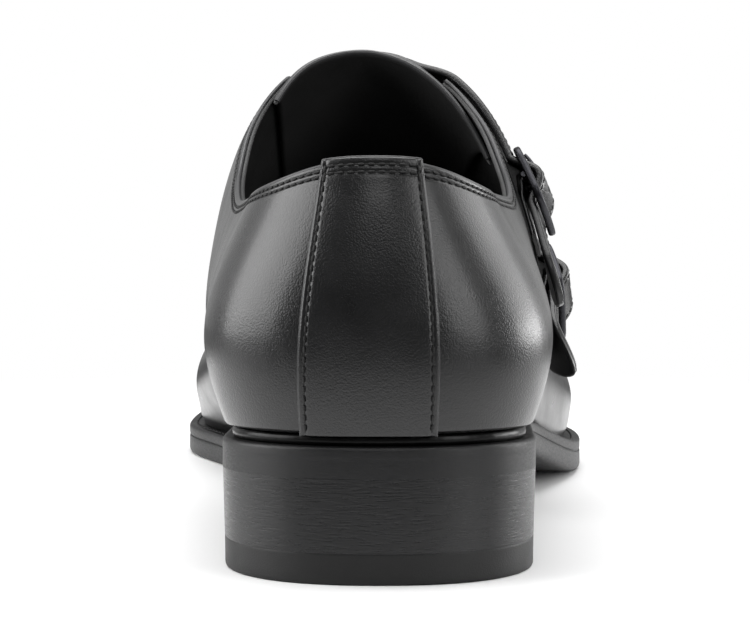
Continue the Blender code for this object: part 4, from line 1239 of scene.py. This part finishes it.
def strap_half_width(strap, along):
    """Half the strap's width: full until its tip, which narrows as a rounded point."""
    ending = np.clip((along - strap[2] + TIP_LENGTH) / TIP_LENGTH, 0.0, 1.0)
    return STRAP_HALF_WIDTH * (1.0 - ending ** TIP_SHARPNESS) ** (1.0 / TIP_SHARPNESS)


print("a strap lifts", max(lift for _, lift in STRAP_LIFT), "mm over the bar of its buckle")

# %% Strap pieces
def build_strap(level, strap):
    """A strap as a front and a back grid in its own space, with rounded, stitched edges."""
    tip_reach = strap[2]
    inset = np.array([0.0, 0.04, 0.12, 0.25, 0.4, 0.6, 0.85, 1.1, 1.35, 1.6, 1.9, 2.3, 3.0])
    slot = PRONG_SLOT_HALF_WIDTH
    width = both_ways(np.concatenate([STRAP_HALF_WIDTH - inset, [3.0, 2.2, slot, 0.4]]))
    share = width / STRAP_HALF_WIDTH
    line = np.linspace(-1.0, 1.0, 9)
    start = np.interp(share, line, [past_edge(strap, MEDIAL, s * STRAP_HALF_WIDTH, 0.25) for s in line])
    plain = start + (HUMP_START - start) * np.linspace(0.0, 1.0, 90)[:, None]
    tip = tip_reach - TIP_LENGTH + TIP_LENGTH * np.sin(np.linspace(0.0, 0.5 * math.pi, 30))
    rest = np.concatenate([runs(HUMP_START, 89, HUMP_END, 5, tip[0])[1:-1], tip])
    along = np.concatenate([plain, rest[:, None] + 0.0 * share])
    narrowing = strap_half_width(strap, along) / STRAP_HALF_WIDTH
    lift = strap_lift(strap)
    slope, level_share = strap_tilt(lift, along)
    to_side = (STRAP_HALF_WIDTH - np.abs(width)) * narrowing
    to_end = np.maximum(np.minimum(along - start, tip_reach - along), 0.0)
    round_off = np.maximum(edge_drop(to_side, STRAP_EDGE_RADIUS), edge_drop(to_end, STRAP_EDGE_RADIUS))
    peak = lift(along) + (STRAP_THICKNESS + furrows(to_side, (STITCH_INSET,)) - round_off) * level_share
    back = strap_space(strap, along, width * narrowing, lift(along) + round_off)
    ahead = (STRAP_THICKNESS - round_off) * slope * level_share
    front = strap_space(strap, along - ahead, width * narrowing, peak)
    middles = 0.5 * (along[1:, :1] + along[:-1, :1])
    between = 0.5 * (width[1:] + width[:-1])[None]
    kept = ~((middles > PRONG_SLOT[0]) & (middles < PRONG_SLOT[1]) & (np.abs(between) < slot))
    mesh = sheet(front, back, kept)
    new_piece(f"strap_{level}_leather", *mesh, strap_calf, "strap_leather", (f"strap_{level}",))


for level, strap in STRAPS.items():
    build_strap(level, strap)

# %% [markdown]
# ## Buckles
# A buckle is a cast frame, nearly flat, with a bar across its middle. The section is a rounded
# rectangle: a circle whose sine and cosine are raised to a power below one. The prong curls round the
# bar and rests on the front of the frame; a leather tab holds the bar to the shoe.

# %% Bars
def bar_along(points, wide, tall, up=UP, power=1.0, sides=20, closed=False):
    """Points and quads of a bar carried along a path, its section a circle's sine and cosine raised
    to a power: 1 is round, less is a rounded rectangle."""
    turn = np.linspace(0.0, 2.0 * math.pi, sides, endpoint=False)
    ahead = np.roll(points, -1, axis=0) - np.roll(points, 1, axis=0)
    if not closed:
        ahead[0], ahead[-1] = points[1] - points[0], points[-1] - points[-2]
    ahead = unit(ahead)
    out = unit(np.cross(ahead, up))
    over = np.cross(out, ahead)
    wide, tall = (np.broadcast_to(size, len(points))[:, None, None] for size in (wide, tall))
    c, s = (np.sign(wave) * np.abs(wave) ** power for wave in (np.cos(turn), np.sin(turn)))
    rings = points[:, None] + wide * out[:, None] * c[None, :, None]
    rings = rings + tall * over[:, None] * s[None, :, None]
    rings = np.concatenate([rings, rings[:, :1]], axis=1)
    if closed:
        return skin(np.concatenate([rings, rings[:1]]))
    first, last = (points[end, None] + 0.0 * rings[:1] for end in (slice(0, 1), slice(-1, None)))
    return skin(np.concatenate([first, rings, last]))


print("a straight bar has", len(bar_along(np.outer([0.0, 1.0], [1.0, 0.0, 0.0]), 1.0, 1.0)[1]), "faces")

# %% Buckles, prongs and tabs
FRAME_HALF_LENGTH = 8.0
FRAME_HALF_WIDTH = 8.4
FRAME_CORNER = 3.0
FRAME_SECTION = (1.15, 0.9)
FRAME_SQUARENESS = 0.6
FRAME_FRONT_HEIGHT = 3.7
FRAME_BACK_HEIGHT = 4.9
BAR_HEIGHT = 3.3
BAR_RADIUS = 0.8
PRONG_RADII = (0.5, 0.38)
PRONG_WIDENING = 1.15
PRONG_CURL_GAP = 0.2
PRONG_CURL = (-130.0, 90.0)
PRONG_SQUARENESS = 0.9
TAB_HALF_WIDTH = 5.0
TAB_THICKNESS = 0.85
TAB_SLOT_HALF_WIDTH = 0.85
TAB_SLOT_START = 0.4
TAB_EDGE = 0.4
TAB_CURL = (270.0, -15.0)

# Side view of the prong in front of the curl that holds it on the bar
PRONG_LINE = (
    # along, height
    (-1.5, 5.45),
    (-3.0, 6.1),
    (-5.8, 5.9),
    (-8.0, 5.5),
    (-9.7, 5.0),
)

# Side view of the tab's tail, from its sewn end to where it curls round the bar
TAB_TAIL = (
    # along, height
    (15.0, 0.80),
    (9.0, 0.80),
    (5.5, 0.80),
    (3.2, 0.95),
    (1.6, 1.40),
)


def rounded_frame():
    """Middle line of the frame: a rectangle with quarter-circle corners, tilted from front to back."""
    corners = []
    for way_along, way_side, first in ((1, 1, 0.0), (-1, 1, 90.0), (-1, -1, 180.0), (1, -1, 270.0)):
        turn = np.radians(first + np.linspace(0.0, 90.0, 14))
        along = way_along * (FRAME_HALF_LENGTH - FRAME_CORNER) + FRAME_CORNER * np.cos(turn)
        side = way_side * (FRAME_HALF_WIDTH - FRAME_CORNER) + FRAME_CORNER * np.sin(turn)
        corners.append(np.stack([along, side], axis=1))
    line = np.concatenate(corners + [corners[0][:1]])
    gap = distances(line)
    line = read_at(np.linspace(0.0, gap[-1], 140, endpoint=False), gap, line)
    share = 0.5 + 0.5 * line[:, :1] / FRAME_HALF_LENGTH
    height = FRAME_FRONT_HEIGHT + (FRAME_BACK_HEIGHT - FRAME_FRONT_HEIGHT) * share
    return np.concatenate([line, height], axis=1)


def curl(radius, first, last, count):
    """Points round the bar in its side view, from angle to angle in degrees."""
    turn = np.radians(np.linspace(first, last, count))
    return np.stack([radius * np.cos(turn), BAR_HEIGHT + radius * np.sin(turn)], axis=1)


def to_shoe(strap, part):
    """Points given as along, sideways and height, moved to the shoe; the quads stay."""
    points, quads = part
    return strap_space(strap, *points.T), quads


def evenly(line, count):
    """A line of points resampled with smooth curves at even distances."""
    gap = distances(line)
    return spline(gap, line, np.linspace(0.0, gap[-1], count))


def build_buckle(level, strap):
    """Frame and bar, prong and tab of one buckle. The tab is slit for the prong round the bar."""
    frame_part = bar_along(rounded_frame(), *FRAME_SECTION, power=FRAME_SQUARENESS, closed=True)
    reach = np.linspace(-1.0, 1.0, 15) * FRAME_HALF_WIDTH
    bar_line = np.stack([0.0 * reach, reach, BAR_HEIGHT + 0.0 * reach], axis=1)
    bar_part = bar_along(bar_line, BAR_RADIUS, BAR_RADIUS)
    metal = joined(to_shoe(strap, frame_part), to_shoe(strap, bar_part))
    new_piece(f"buckle_{level}_metal", *metal, gunmetal, "buckle_metal", (f"buckle_{level}",))

    around = curl(BAR_RADIUS + PRONG_CURL_GAP + PRONG_RADII[0], *PRONG_CURL, 9)
    line = evenly(np.insert(np.concatenate([around, np.array(PRONG_LINE)]), 1, 0.0, axis=1), 60)
    radius = np.linspace(*PRONG_RADII, len(line))
    sideways = np.array([0.0, 1.0, 0.0])
    prong = bar_along(line, radius * PRONG_WIDENING, radius, sideways, PRONG_SQUARENESS, 14)
    prong = to_shoe(strap, prong)
    new_piece(f"prong_{level}_metal", *prong, gunmetal, "buckle_metal", (f"prong_{level}",))

    around = curl(BAR_RADIUS + CLEARANCE + 0.5 * TAB_THICKNESS, *TAB_CURL, 12)
    line = evenly(np.concatenate([np.array(TAB_TAIL), around]), 70)
    ahead = unit(np.gradient(line, axis=0))
    inset = np.array([0.0, 0.05, 0.15, 0.3, 0.5])
    width = both_ways(np.concatenate([TAB_HALF_WIDTH - inset, [3.0, TAB_SLOT_HALF_WIDTH]]))
    thick = 0.5 * TAB_THICKNESS - edge_drop(TAB_HALF_WIDTH - np.abs(width), TAB_EDGE)
    faces = [
        strap_space(strap, line[:, :1] - ahead[:, 1:] * t, width[None], line[:, 1:] + ahead[:, :1] * t)
        for t in (thick, -thick)
    ]
    kept = np.ones((len(line) - 1, len(width) - 1), bool)
    in_slot = np.arange(len(line) - 1) > TAB_SLOT_START * len(line)
    kept[in_slot, (len(width) - 1) // 2] = False
    tab = sheet(*faces, kept)
    new_piece(f"tab_{level}_leather", *tab, strap_calf, "strap_leather", (f"tab_{level}",))


for level, strap in STRAPS.items():
    build_buckle(level, strap)

# %% [markdown]
# ## Elastic web behind the buckle, dark as painted shade
# A strap of this kind does not fasten to the buckle alone: a short pad of black elastic web backs it,
# so that the shoe opens without undoing the prong. It is a sheet between the quarter and the strap,
# and it fills the gap under the strap where it rises to the bar: its black is painted shade there,
# in place of the shadow under the strap. Its upper face follows a short table of heights that keeps
# clear of the bar, and its sides are rounded like a cut edge.

# %% Elastic web, painted shade under the strap
# Side view of the web, from its front to its back
SHADE_WEB_TOP = (
    # along, height
    (-9.0, 0.12),
    (-7.5, 0.22),
    (-5.5, 1.05),
    (-4.0, 2.15),
    (-2.9, 2.6),
    (-2.3, 1.3),
    (2.3, 0.28),
    (15.0, 0.28),
    (19.0, 0.12),
)
SHADE_WEB_HALF_WIDTH = 5.6

for level, strap in STRAPS.items():
    table = np.array(SHADE_WEB_TOP)
    along = np.linspace(table[0, 0], table[-1, 0], 90)[:, None]
    width = both_ways(SHADE_WEB_HALF_WIDTH - np.array([0.0, 0.05, 0.12, 0.2, 0.3, 1.5, 3.0, 4.5]))
    top = np.interp(along, *table.T) - edge_drop(SHADE_WEB_HALF_WIDTH - np.abs(width), 0.3)
    faces = [strap_space(strap, along, width[None], height) for height in (np.maximum(top, 0.05), 0.02)]
    new_piece("shade_web_" + level, *sheet(*faces), web_painted_shade, "strap_leather")

# %% [markdown]
# ## Sole, heel and sock
# The sole is lofted: a profile of insets and heights is carried round its plan, and closed by a top
# and a bottom. In front of the heel a shallow groove parts the welt from the outsole; at the heel both
# are sanded to one edge. The heel and its lift taper a little towards the floor.

# %% Lofted solids
def lofted(stations, levels, breast=0.0, crown=0.0):
    """Points and quads of a solid from levels of (inset, surface, rise), closed above and below.

    Each level is the sole's plan moved in by its inset, `rise` over a surface. An inset may be a
    function of the station. breast hollows the front end by 1 less the share across squared, and
    crown sinks the middle of the top by 1 less the share across cubed.
    """
    across = np.sin(0.5 * math.pi * np.linspace(-1.0, 1.0, 25))
    grids = []
    for inset, surface, rise in levels:
        inset = inset(stations) if callable(inset) else inset
        (outer, y), (inner, _) = (plan(stations, side, inset) for side in (LATERAL, MEDIAL))
        middle, half = 0.5 * (outer + inner)[:, None], 0.5 * (outer - inner)[:, None]
        y = y[:, None] - breast * (stations[:, None] / stations[-1]) ** 4 * (1.0 - across ** 2)
        grids.append(np.stack([middle + half * across, y, surface(y) + rise], axis=-1))
    grids[-1][..., 2] += crown * (np.abs(across) ** 3 - 1.0) * np.minimum(half / 8.0, 1.0)
    index = np.arange(len(stations) * len(across)).reshape(len(stations), -1)
    ring = np.concatenate([index[:, -1], index[-1, -2::-1], index[-2::-1, 0], index[0, 1:]])
    rings = np.stack([grid.reshape(-1, 3)[ring] for grid in grids])
    return joined(skin(rings), skin(grids[0]), skin(grids[-1]))


def floor_height(y):
    """Height of the floor."""
    return 0.0 * y


print("lofting helper ready")

# %% Sole with its welt
HEEL_BREAST = 70.0
GROOVE_DEPTH = 0.4


def grooved(share):
    """Inset of a share of the groove between welt and outsole: none at the heel, full at the ball."""
    return lambda stations: share * GROOVE_DEPTH * smooth_step((stations - 60.0) / 70.0)


def rounded(inset):
    """Inset of the sole's rounded lower edge: none over the heel, whose block is flush with it."""
    return lambda stations: inset * smooth_step((stations - HEEL_BREAST + 4.0) / 6.0)


sole_levels = [
    (rounded(2.2), underside, 0.0),
    (rounded(1.1), underside, 0.12),
    (rounded(0.5), underside, 0.45),
    (rounded(0.18), underside, 0.95),
    (0.0, underside, 1.5),
    (0.0, outsole_top, -1.2),
    (0.02, outsole_top, -0.55),
    (grooved(0.25), outsole_top, -0.28),
    (grooved(1.0), outsole_top, -0.08),
    (grooved(1.0), outsole_top, 0.08),
    (grooved(0.25), outsole_top, 0.28),
    (0.02, outsole_top, 0.55),
    (0.0, welt_top, -0.75),
    (0.08, welt_top, -0.42),
    (0.3, welt_top, -0.14),
    (0.6, welt_top, -0.03),
    (1.0, welt_top, 0.0),
]
sole_mesh = lofted(to_toe(runs(0.0, 48, HEEL_CENTRE, 150, TOE_START), 56), sole_levels)
new_piece("sole_and_welt", *sole_mesh, sole_edge, "sole_leather", ("outsole", "welt"))

# %% Heel block and top lift
BREAST_HOLLOW = 4.0
TOP_LIFT = 6.7
STACK_GAP = 0.17
LIFT_PROFILE = (
    # inset, height
    (1.1, 0.0), (0.8, 0.07), (0.6, 0.22), (0.5, 0.5), (0.46, 1.0), (0.45, 3.0), (0.41, 6.0),
    (0.41, 6.42), (0.45, 6.5), (0.9, 6.52),
)
heel_stations = runs(0.0, 60, HEEL_CENTRE, 29, HEEL_BREAST)


def stack_level(share):
    """A level of the heel block at a share of its height, which the sole's underside bounds."""
    low = TOP_LIFT - STACK_GAP
    inset = 0.40 - 0.38 * share + 0.03 * (share < 0.02)
    return inset, lambda y: low + (underside(y) - low) * share, 0.0


stack_levels = [stack_level(share) for share in np.linspace(0.0, 1.0, 40)]
heel_mesh = lofted(heel_stations, stack_levels, BREAST_HOLLOW)
new_piece("heel_block", *heel_mesh, heel_leather, "sole_leather", ("heel_stack",))
lift_levels = [(inset, floor_height, height) for inset, height in LIFT_PROFILE]
lift_mesh = lofted(heel_stations, lift_levels, BREAST_HOLLOW)
new_piece("heel_lift", *lift_mesh, rubber, "lift_rubber", ("top_lift",))

# %% Sock inside the shoe
def welt_margin(stations):
    """How far inside the sole's edge the foot of the upper stands."""
    return columns(SOLE_SECTIONS, stations)[3]


sock_levels = [
    (lambda stations, extra=extra: welt_margin(stations) + WALL + extra, welt_top, rise)
    for extra, rise in ((4.0, 0.3), (0.9, 0.4), (0.35, 1.6), (0.45, 2.3), (0.9, 2.5))
]
sock_mesh = lofted(to_toe(runs(0.0, 30, HEEL_CENTRE, 90, TOE_START), 30), sock_levels, crown=0.9)
new_piece("sock", *sock_mesh, sock_leather, "lining_leather", ("insole",))

# %% [markdown]
# ## Stitches
# A lockstitch shows as a row of short dashes with small gaps, each dash a bead of thread half sunk in
# the leather. One dash is an ellipsoid of a few dozen faces; a row of them follows a line on the
# surface, and the rows of one seam make one piece.

# %% One stitch, and a row of them
# painted shade: a dark bar of thread colour along the bottom of each stitch furrow
SHADE_BED_DEPTH = 0.22
SHADE_BED_SECTION = (0.24, 0.14)


def one_stitch(rings=7, sides=8):
    """Points of an ellipsoid dash along x with z up: rings of a circle whose radius is a sine."""
    turn = np.linspace(0.0, math.pi, rings)[:, None]
    around = np.linspace(0.0, 2.0 * math.pi, sides + 1)[None]
    swell = np.sin(turn) ** 0.6
    return skin(np.stack([
        -0.5 * np.cos(turn) + 0.0 * around, swell * np.cos(around), swell * np.sin(around),
    ], axis=-1))


def stitch_row(line, ups, pitch=2.0, length=1.4, radius=0.29):
    """Dashes every pitch along a line, on a dark bed of thread sunk in the seam, painted shade that
    darkens the furrow between the dashes; ups are the normals there.
    """
    gap = distances(line)
    count = max(int(gap[-1] / pitch), 1)
    where = (np.arange(count) + 0.5) * gap[-1] / count
    middle, up = read_at(where, gap, line), read_at(where, gap, ups)
    ahead = unit(read_at(where + 0.2, gap, line) - read_at(where - 0.2, gap, line))
    across = unit(np.cross(up, ahead))
    up = np.cross(ahead, across)
    # painted shade: the bed fills the gaps between dashes with black
    bed = bar_along(line[::3] - SHADE_BED_DEPTH * unit(ups[::3]), *SHADE_BED_SECTION, ups[::3], sides=8)
    points, quads = one_stitch()
    size = points * np.array([length, radius, radius * 0.8])
    placed = middle[:, None] + np.einsum("pk,nkc->npc", size, np.stack([ahead, across, up], axis=1))
    quads = quads[None] + np.arange(count)[:, None, None] * len(points)
    return joined((placed.reshape(-1, 3), quads.reshape(-1, 4)), bed)


def sew(name, rows, slot):
    """Rows of stitches as one piece of thread."""
    new_piece(name, *joined(*rows), thread, slot, merge=FINE_MERGE)


print("one stitch has", len(one_stitch()[1]), "faces")

# %% Stitches of the quarters
THREAD_SUNK = 0.02
rows = []
for side in (LATERAL, MEDIAL):
    first = heel_station(STRIP_TOP_HALF_WIDTH + side * STRIP_TOP_CENTRE + 0.6)
    collar = np.linspace(first, VAMP_POINT - 14.0, 400)
    lines = [(collar, below_edge(collar, side, depth), skived(collar, depth)) for depth in STITCH_ROWS]
    share = np.linspace(0.04, 0.97, 160)
    for inset in SEAM_ROWS:
        top = np.full_like(share, QUARTER_SEAM - inset)
        lines.append((swept(top, share), top_edge(top, side) * share, 0.0))
    for station, v, sunk in lines:
        line = upper_offset(station, v, side, -THREAD_SUNK - sunk)
        rows.append(stitch_row(line, upper_normal(station, v, side)))
sew("quarter_stitches", rows, "upper_leather")

# %% Stitches of the heel strip
rise = np.linspace(0.05, 0.985, 300)
share = np.linspace(-0.88, 0.88, 80)
places = [(way * (1.0 - STRIP_STITCH / strip_half(rise)), rise) for way in (-1.0, 1.0)]
places += [(share, 1.0 - depth / STRIP_LENGTH) for depth in STITCH_ROWS]
rows = []
for place in places:
    low, high = (strip_point(*place, STRIP_HEIGHT + height) for height in (-0.03, 0.97))
    rows.append(stitch_row(low, high - low))
sew("strip_stitches", rows, "upper_leather")

# %% Stitches of the straps
rows = []
for strap in STRAPS.values():
    lift = strap_lift(strap)
    for way in (-1.0, 1.0):
        first = past_edge(strap, MEDIAL, way * STRAP_HALF_WIDTH, 0.3) + 1.5
        along = np.linspace(first, strap[2] - STITCH_INSET - 1.0, 300)
        half = np.maximum(strap_half_width(strap, along) - STITCH_INSET, 0.0)
        slope, cosine = strap_tilt(lift, along)
        low, high = (
            strap_space(strap, along - t * slope * cosine, way * half, lift(along) + t * cosine)
            for t in (STRAP_THICKNESS - 0.08, STRAP_THICKNESS + 0.92)
        )
        rows.append(stitch_row(low, high - low))
sew("strap_stitches", rows, "strap_leather")

# %% Stitches of the welt
rows = []
stations = to_toe(runs(0.0, 4, HEEL_CENTRE, 400, TOE_START), 200)
stations = stations[stations > HEEL_BREAST + 4.0]
for side in (LATERAL, MEDIAL):
    x, y = plan(stations, side, 0.5 * welt_margin(stations))
    line = np.stack([x, y, welt_top(y) + 0.05], axis=1)
    rows.append(stitch_row(line, np.broadcast_to(UP, line.shape), pitch=2.6, length=2.1, radius=0.34))
sew("welt_stitches", rows, "sole_leather")

# %% [markdown]
# ## Edge beads of painted highlight
# The topline is finished with a fine rolled bead, and the skived edges of the heel strip and the rim
# of the tongue are polished and get thin round lines too. Their grey is painted highlight: it is
# lighter than the leather to stand in for the light that these polished edges catch.

# %% Edge beads of painted highlight
def bead(line, radius):
    """A thin round line along points in the shoe's own frame."""
    return bar_along(line, radius, radius, sides=10)


collar = runs(0.0, 59, HEEL_CENTRE, 199, VAMP_POINT - 12.0)
height = -0.7 - 0.5 * skived(collar, 0.0)
topline = around_heel(*(
    upper_offset(collar, below_edge(collar, side, 0.1), side, height) for side in (MEDIAL, LATERAL)
))
new_piece("topline_highlight_bead", *bead(topline, 0.5), edge_highlight_paint, "upper_leather")

across = np.linspace(-0.985, 0.985, 160)
rim = tongue_point(across, 0.3 / TONGUE_LENGTH, -TONGUE_UNDER - 0.5 * TONGUE_THICKNESS)
new_piece("tongue_rim_highlight_bead", *bead(rim, 0.7), edge_highlight_paint, "upper_leather")

rise = np.linspace(strip_rise[0], strip_rise[-1], 120)
rows = [bead(strip_point(way, rise, 0.6), 0.2) for way in (-1.0, 1.0)]
rows.append(bead(strip_point(np.linspace(-1.0, 1.0, 40), strip_rise[-1], 0.6), 0.24))
new_piece("strip_edge_highlight_beads", *joined(*rows), edge_highlight_paint, "upper_leather")

# %% [markdown]
# ## Wax in the joint, dark as painted shade
# Over the heel the upper turns in above the sole, and the joint is filled with black burnishing wax
# that is smoothed with a warm iron. It is a flat bar carried round the heel a little inside the
# sole's edge. Its colour and weak reflection are darker than the leather above and below: painted
# shade, standing in for the shade in the turned-in joint, so that it reads as one black band.

# %% Wax in the joint over the heel, dark as painted shade
def joint_line(side):
    """The joint on one side of the heel, 1.5 mm inside the foot of the upper."""
    stations = runs(0.0, 49, HEEL_CENTRE, 69, 125.0)
    x, y = plan(stations, side, welt_margin(stations) + 1.5)
    return np.stack([x, y, welt_top(y) + 1.15], axis=1)


joint = around_heel(joint_line(MEDIAL), joint_line(LATERAL))
joint_shade_mesh = bar_along(joint, 1.0, 1.2, power=0.8, sides=14)
new_piece("joint_wax_painted_shade", *joint_shade_mesh, wax_painted_shade, "sole_leather")

# %% [markdown]
# ## Studio
# The shoe stands on a plain pale floor that fades into a white room, lit by large soft panels: one on
# the inner side and three on the outer side for the long highlights on the leather, one above, a weak
# one behind the camera, and a backdrop whose light grazes the toe. The camera stands low behind the
# heel, and looks a little down.

# %% Floor and room
WHITE = linear("#ffffff")
FLOOR_RADIUS = 2.0


def placed(name, data):
    """A new object for some data, linked to the scene."""
    made = bpy.data.objects.new(name, data)
    bpy.context.scene.collection.objects.link(made)
    return made


ring = np.linspace(0.0, 2.0 * math.pi, 96, endpoint=False)
floor_mesh = bpy.data.meshes.new("floor")
floor_points = FLOOR_RADIUS * np.stack([np.cos(ring), np.sin(ring), 0.0 * ring], axis=1)
floor_mesh.from_pydata(floor_points.tolist(), [], [tuple(range(len(ring)))])
floor = placed("floor", floor_mesh)
floor_paint, tree, floor_shader, floor_place = new_material("pale_floor", "#f4f4f4", 0.9)
floor_mesh.materials.append(floor_paint)
clear = add(tree, "ShaderNodeBsdfTransparent", {})
length = add(tree, "ShaderNodeVectorMath", {0: floor_place}, operation="LENGTH")
fade = add(tree, "ShaderNodeMapRange", {
    "Value": length.outputs["Value"], "From Min": 0.16, "From Max": 0.34, "To Min": 0.0, "To Max": 1.0,
}, interpolation_type="SMOOTHSTEP")
mixed = add(tree, "ShaderNodeMixShader", {
    0: fade.outputs["Result"], 1: floor_shader.outputs["BSDF"], 2: clear.outputs["BSDF"],
})
feed(tree.nodes["Material Output"], {"Surface": mixed.outputs["Shader"]})

world = bpy.data.worlds.new("white_room")
world.use_nodes = True
tree = world.node_tree
room = tree.nodes["Background"]
feed(room, {"Color": WHITE, "Strength": 0.12})
seen = add(tree, "ShaderNodeBackground", {"Color": WHITE, "Strength": 1.0})
path = add(tree, "ShaderNodeLightPath", {})
either = add(tree, "ShaderNodeMixShader", {
    0: path.outputs["Is Camera Ray"], 1: room.outputs["Background"], 2: seen.outputs["Background"],
})
feed(tree.nodes["World Output"], {"Surface": either.outputs["Shader"]})
bpy.context.scene.world = world
bpy.context.scene.view_settings.view_transform = "Standard"
print("the room lights the shoe with", room.inputs["Strength"].default_value, "of its brightness")

# %% Lights and camera
# Soft rectangular panels, placed and aimed in metres from the foot of the heel's back
PANELS = (
    # name, place, target, size, power
    ("left_panel", (-0.75, 0.05, 0.35), (0.0, 0.08, 0.05), (0.85, 0.7), 7.5),
    ("right_panel", (0.75, 0.40, 0.35), (0.0, 0.08, 0.05), (0.6, 0.7), 3.5),
    ("right_back_panel", (0.84, -0.60, 0.35), (0.0, 0.08, 0.05), (0.5, 0.7), 3.6),
    ("right_low_panel", (0.85, 0.45, 0.08), (0.0, 0.0, 0.03), (0.6, 0.16), 1.5),
    ("back_panel", (0.05, -1.15, 0.92), (0.0, 0.0, 0.05), (0.5, 0.4), 2.2),
    ("top_panel", (0.0, 0.15, 0.95), (0.0, 0.12, 0.05), (0.9, 0.9), 11.0),
    ("backdrop_panel", (0.0, 1.2, 0.45), (0.0, 0.15, 0.05), (2.6, 1.0), 3.2),
)
CAMERA_PLACE = (-0.0009, -0.523, 0.091)
CAMERA_DOWN = 3.857
heel_back = Vector((SHIFT[0] * MM, sole_lo[1], 0.0))

for name, where, target, size, power in PANELS:
    light = bpy.data.lights.new(name, "AREA")
    light.shape = "RECTANGLE"
    light.size, light.size_y = size
    light.energy = power
    lamp = placed(name, light)
    lamp.visible_camera = False
    lamp.location = heel_back + Vector(where)
    lamp.rotation_euler = (Vector(target) - Vector(where)).to_track_quat("-Z", "Y").to_euler()

lens = bpy.data.cameras.new("camera")
lens.lens = 124.95
lens.sensor_width = 36.0
lens.clip_start = 0.01
camera = placed("camera", lens)
camera.location = heel_back + Vector(CAMERA_PLACE)
camera.rotation_euler = (math.radians(90.0 - CAMERA_DOWN), 0.0, 0.0)
bpy.context.scene.camera = camera
print("camera stands", round(camera.location[2] / MM), "mm high")
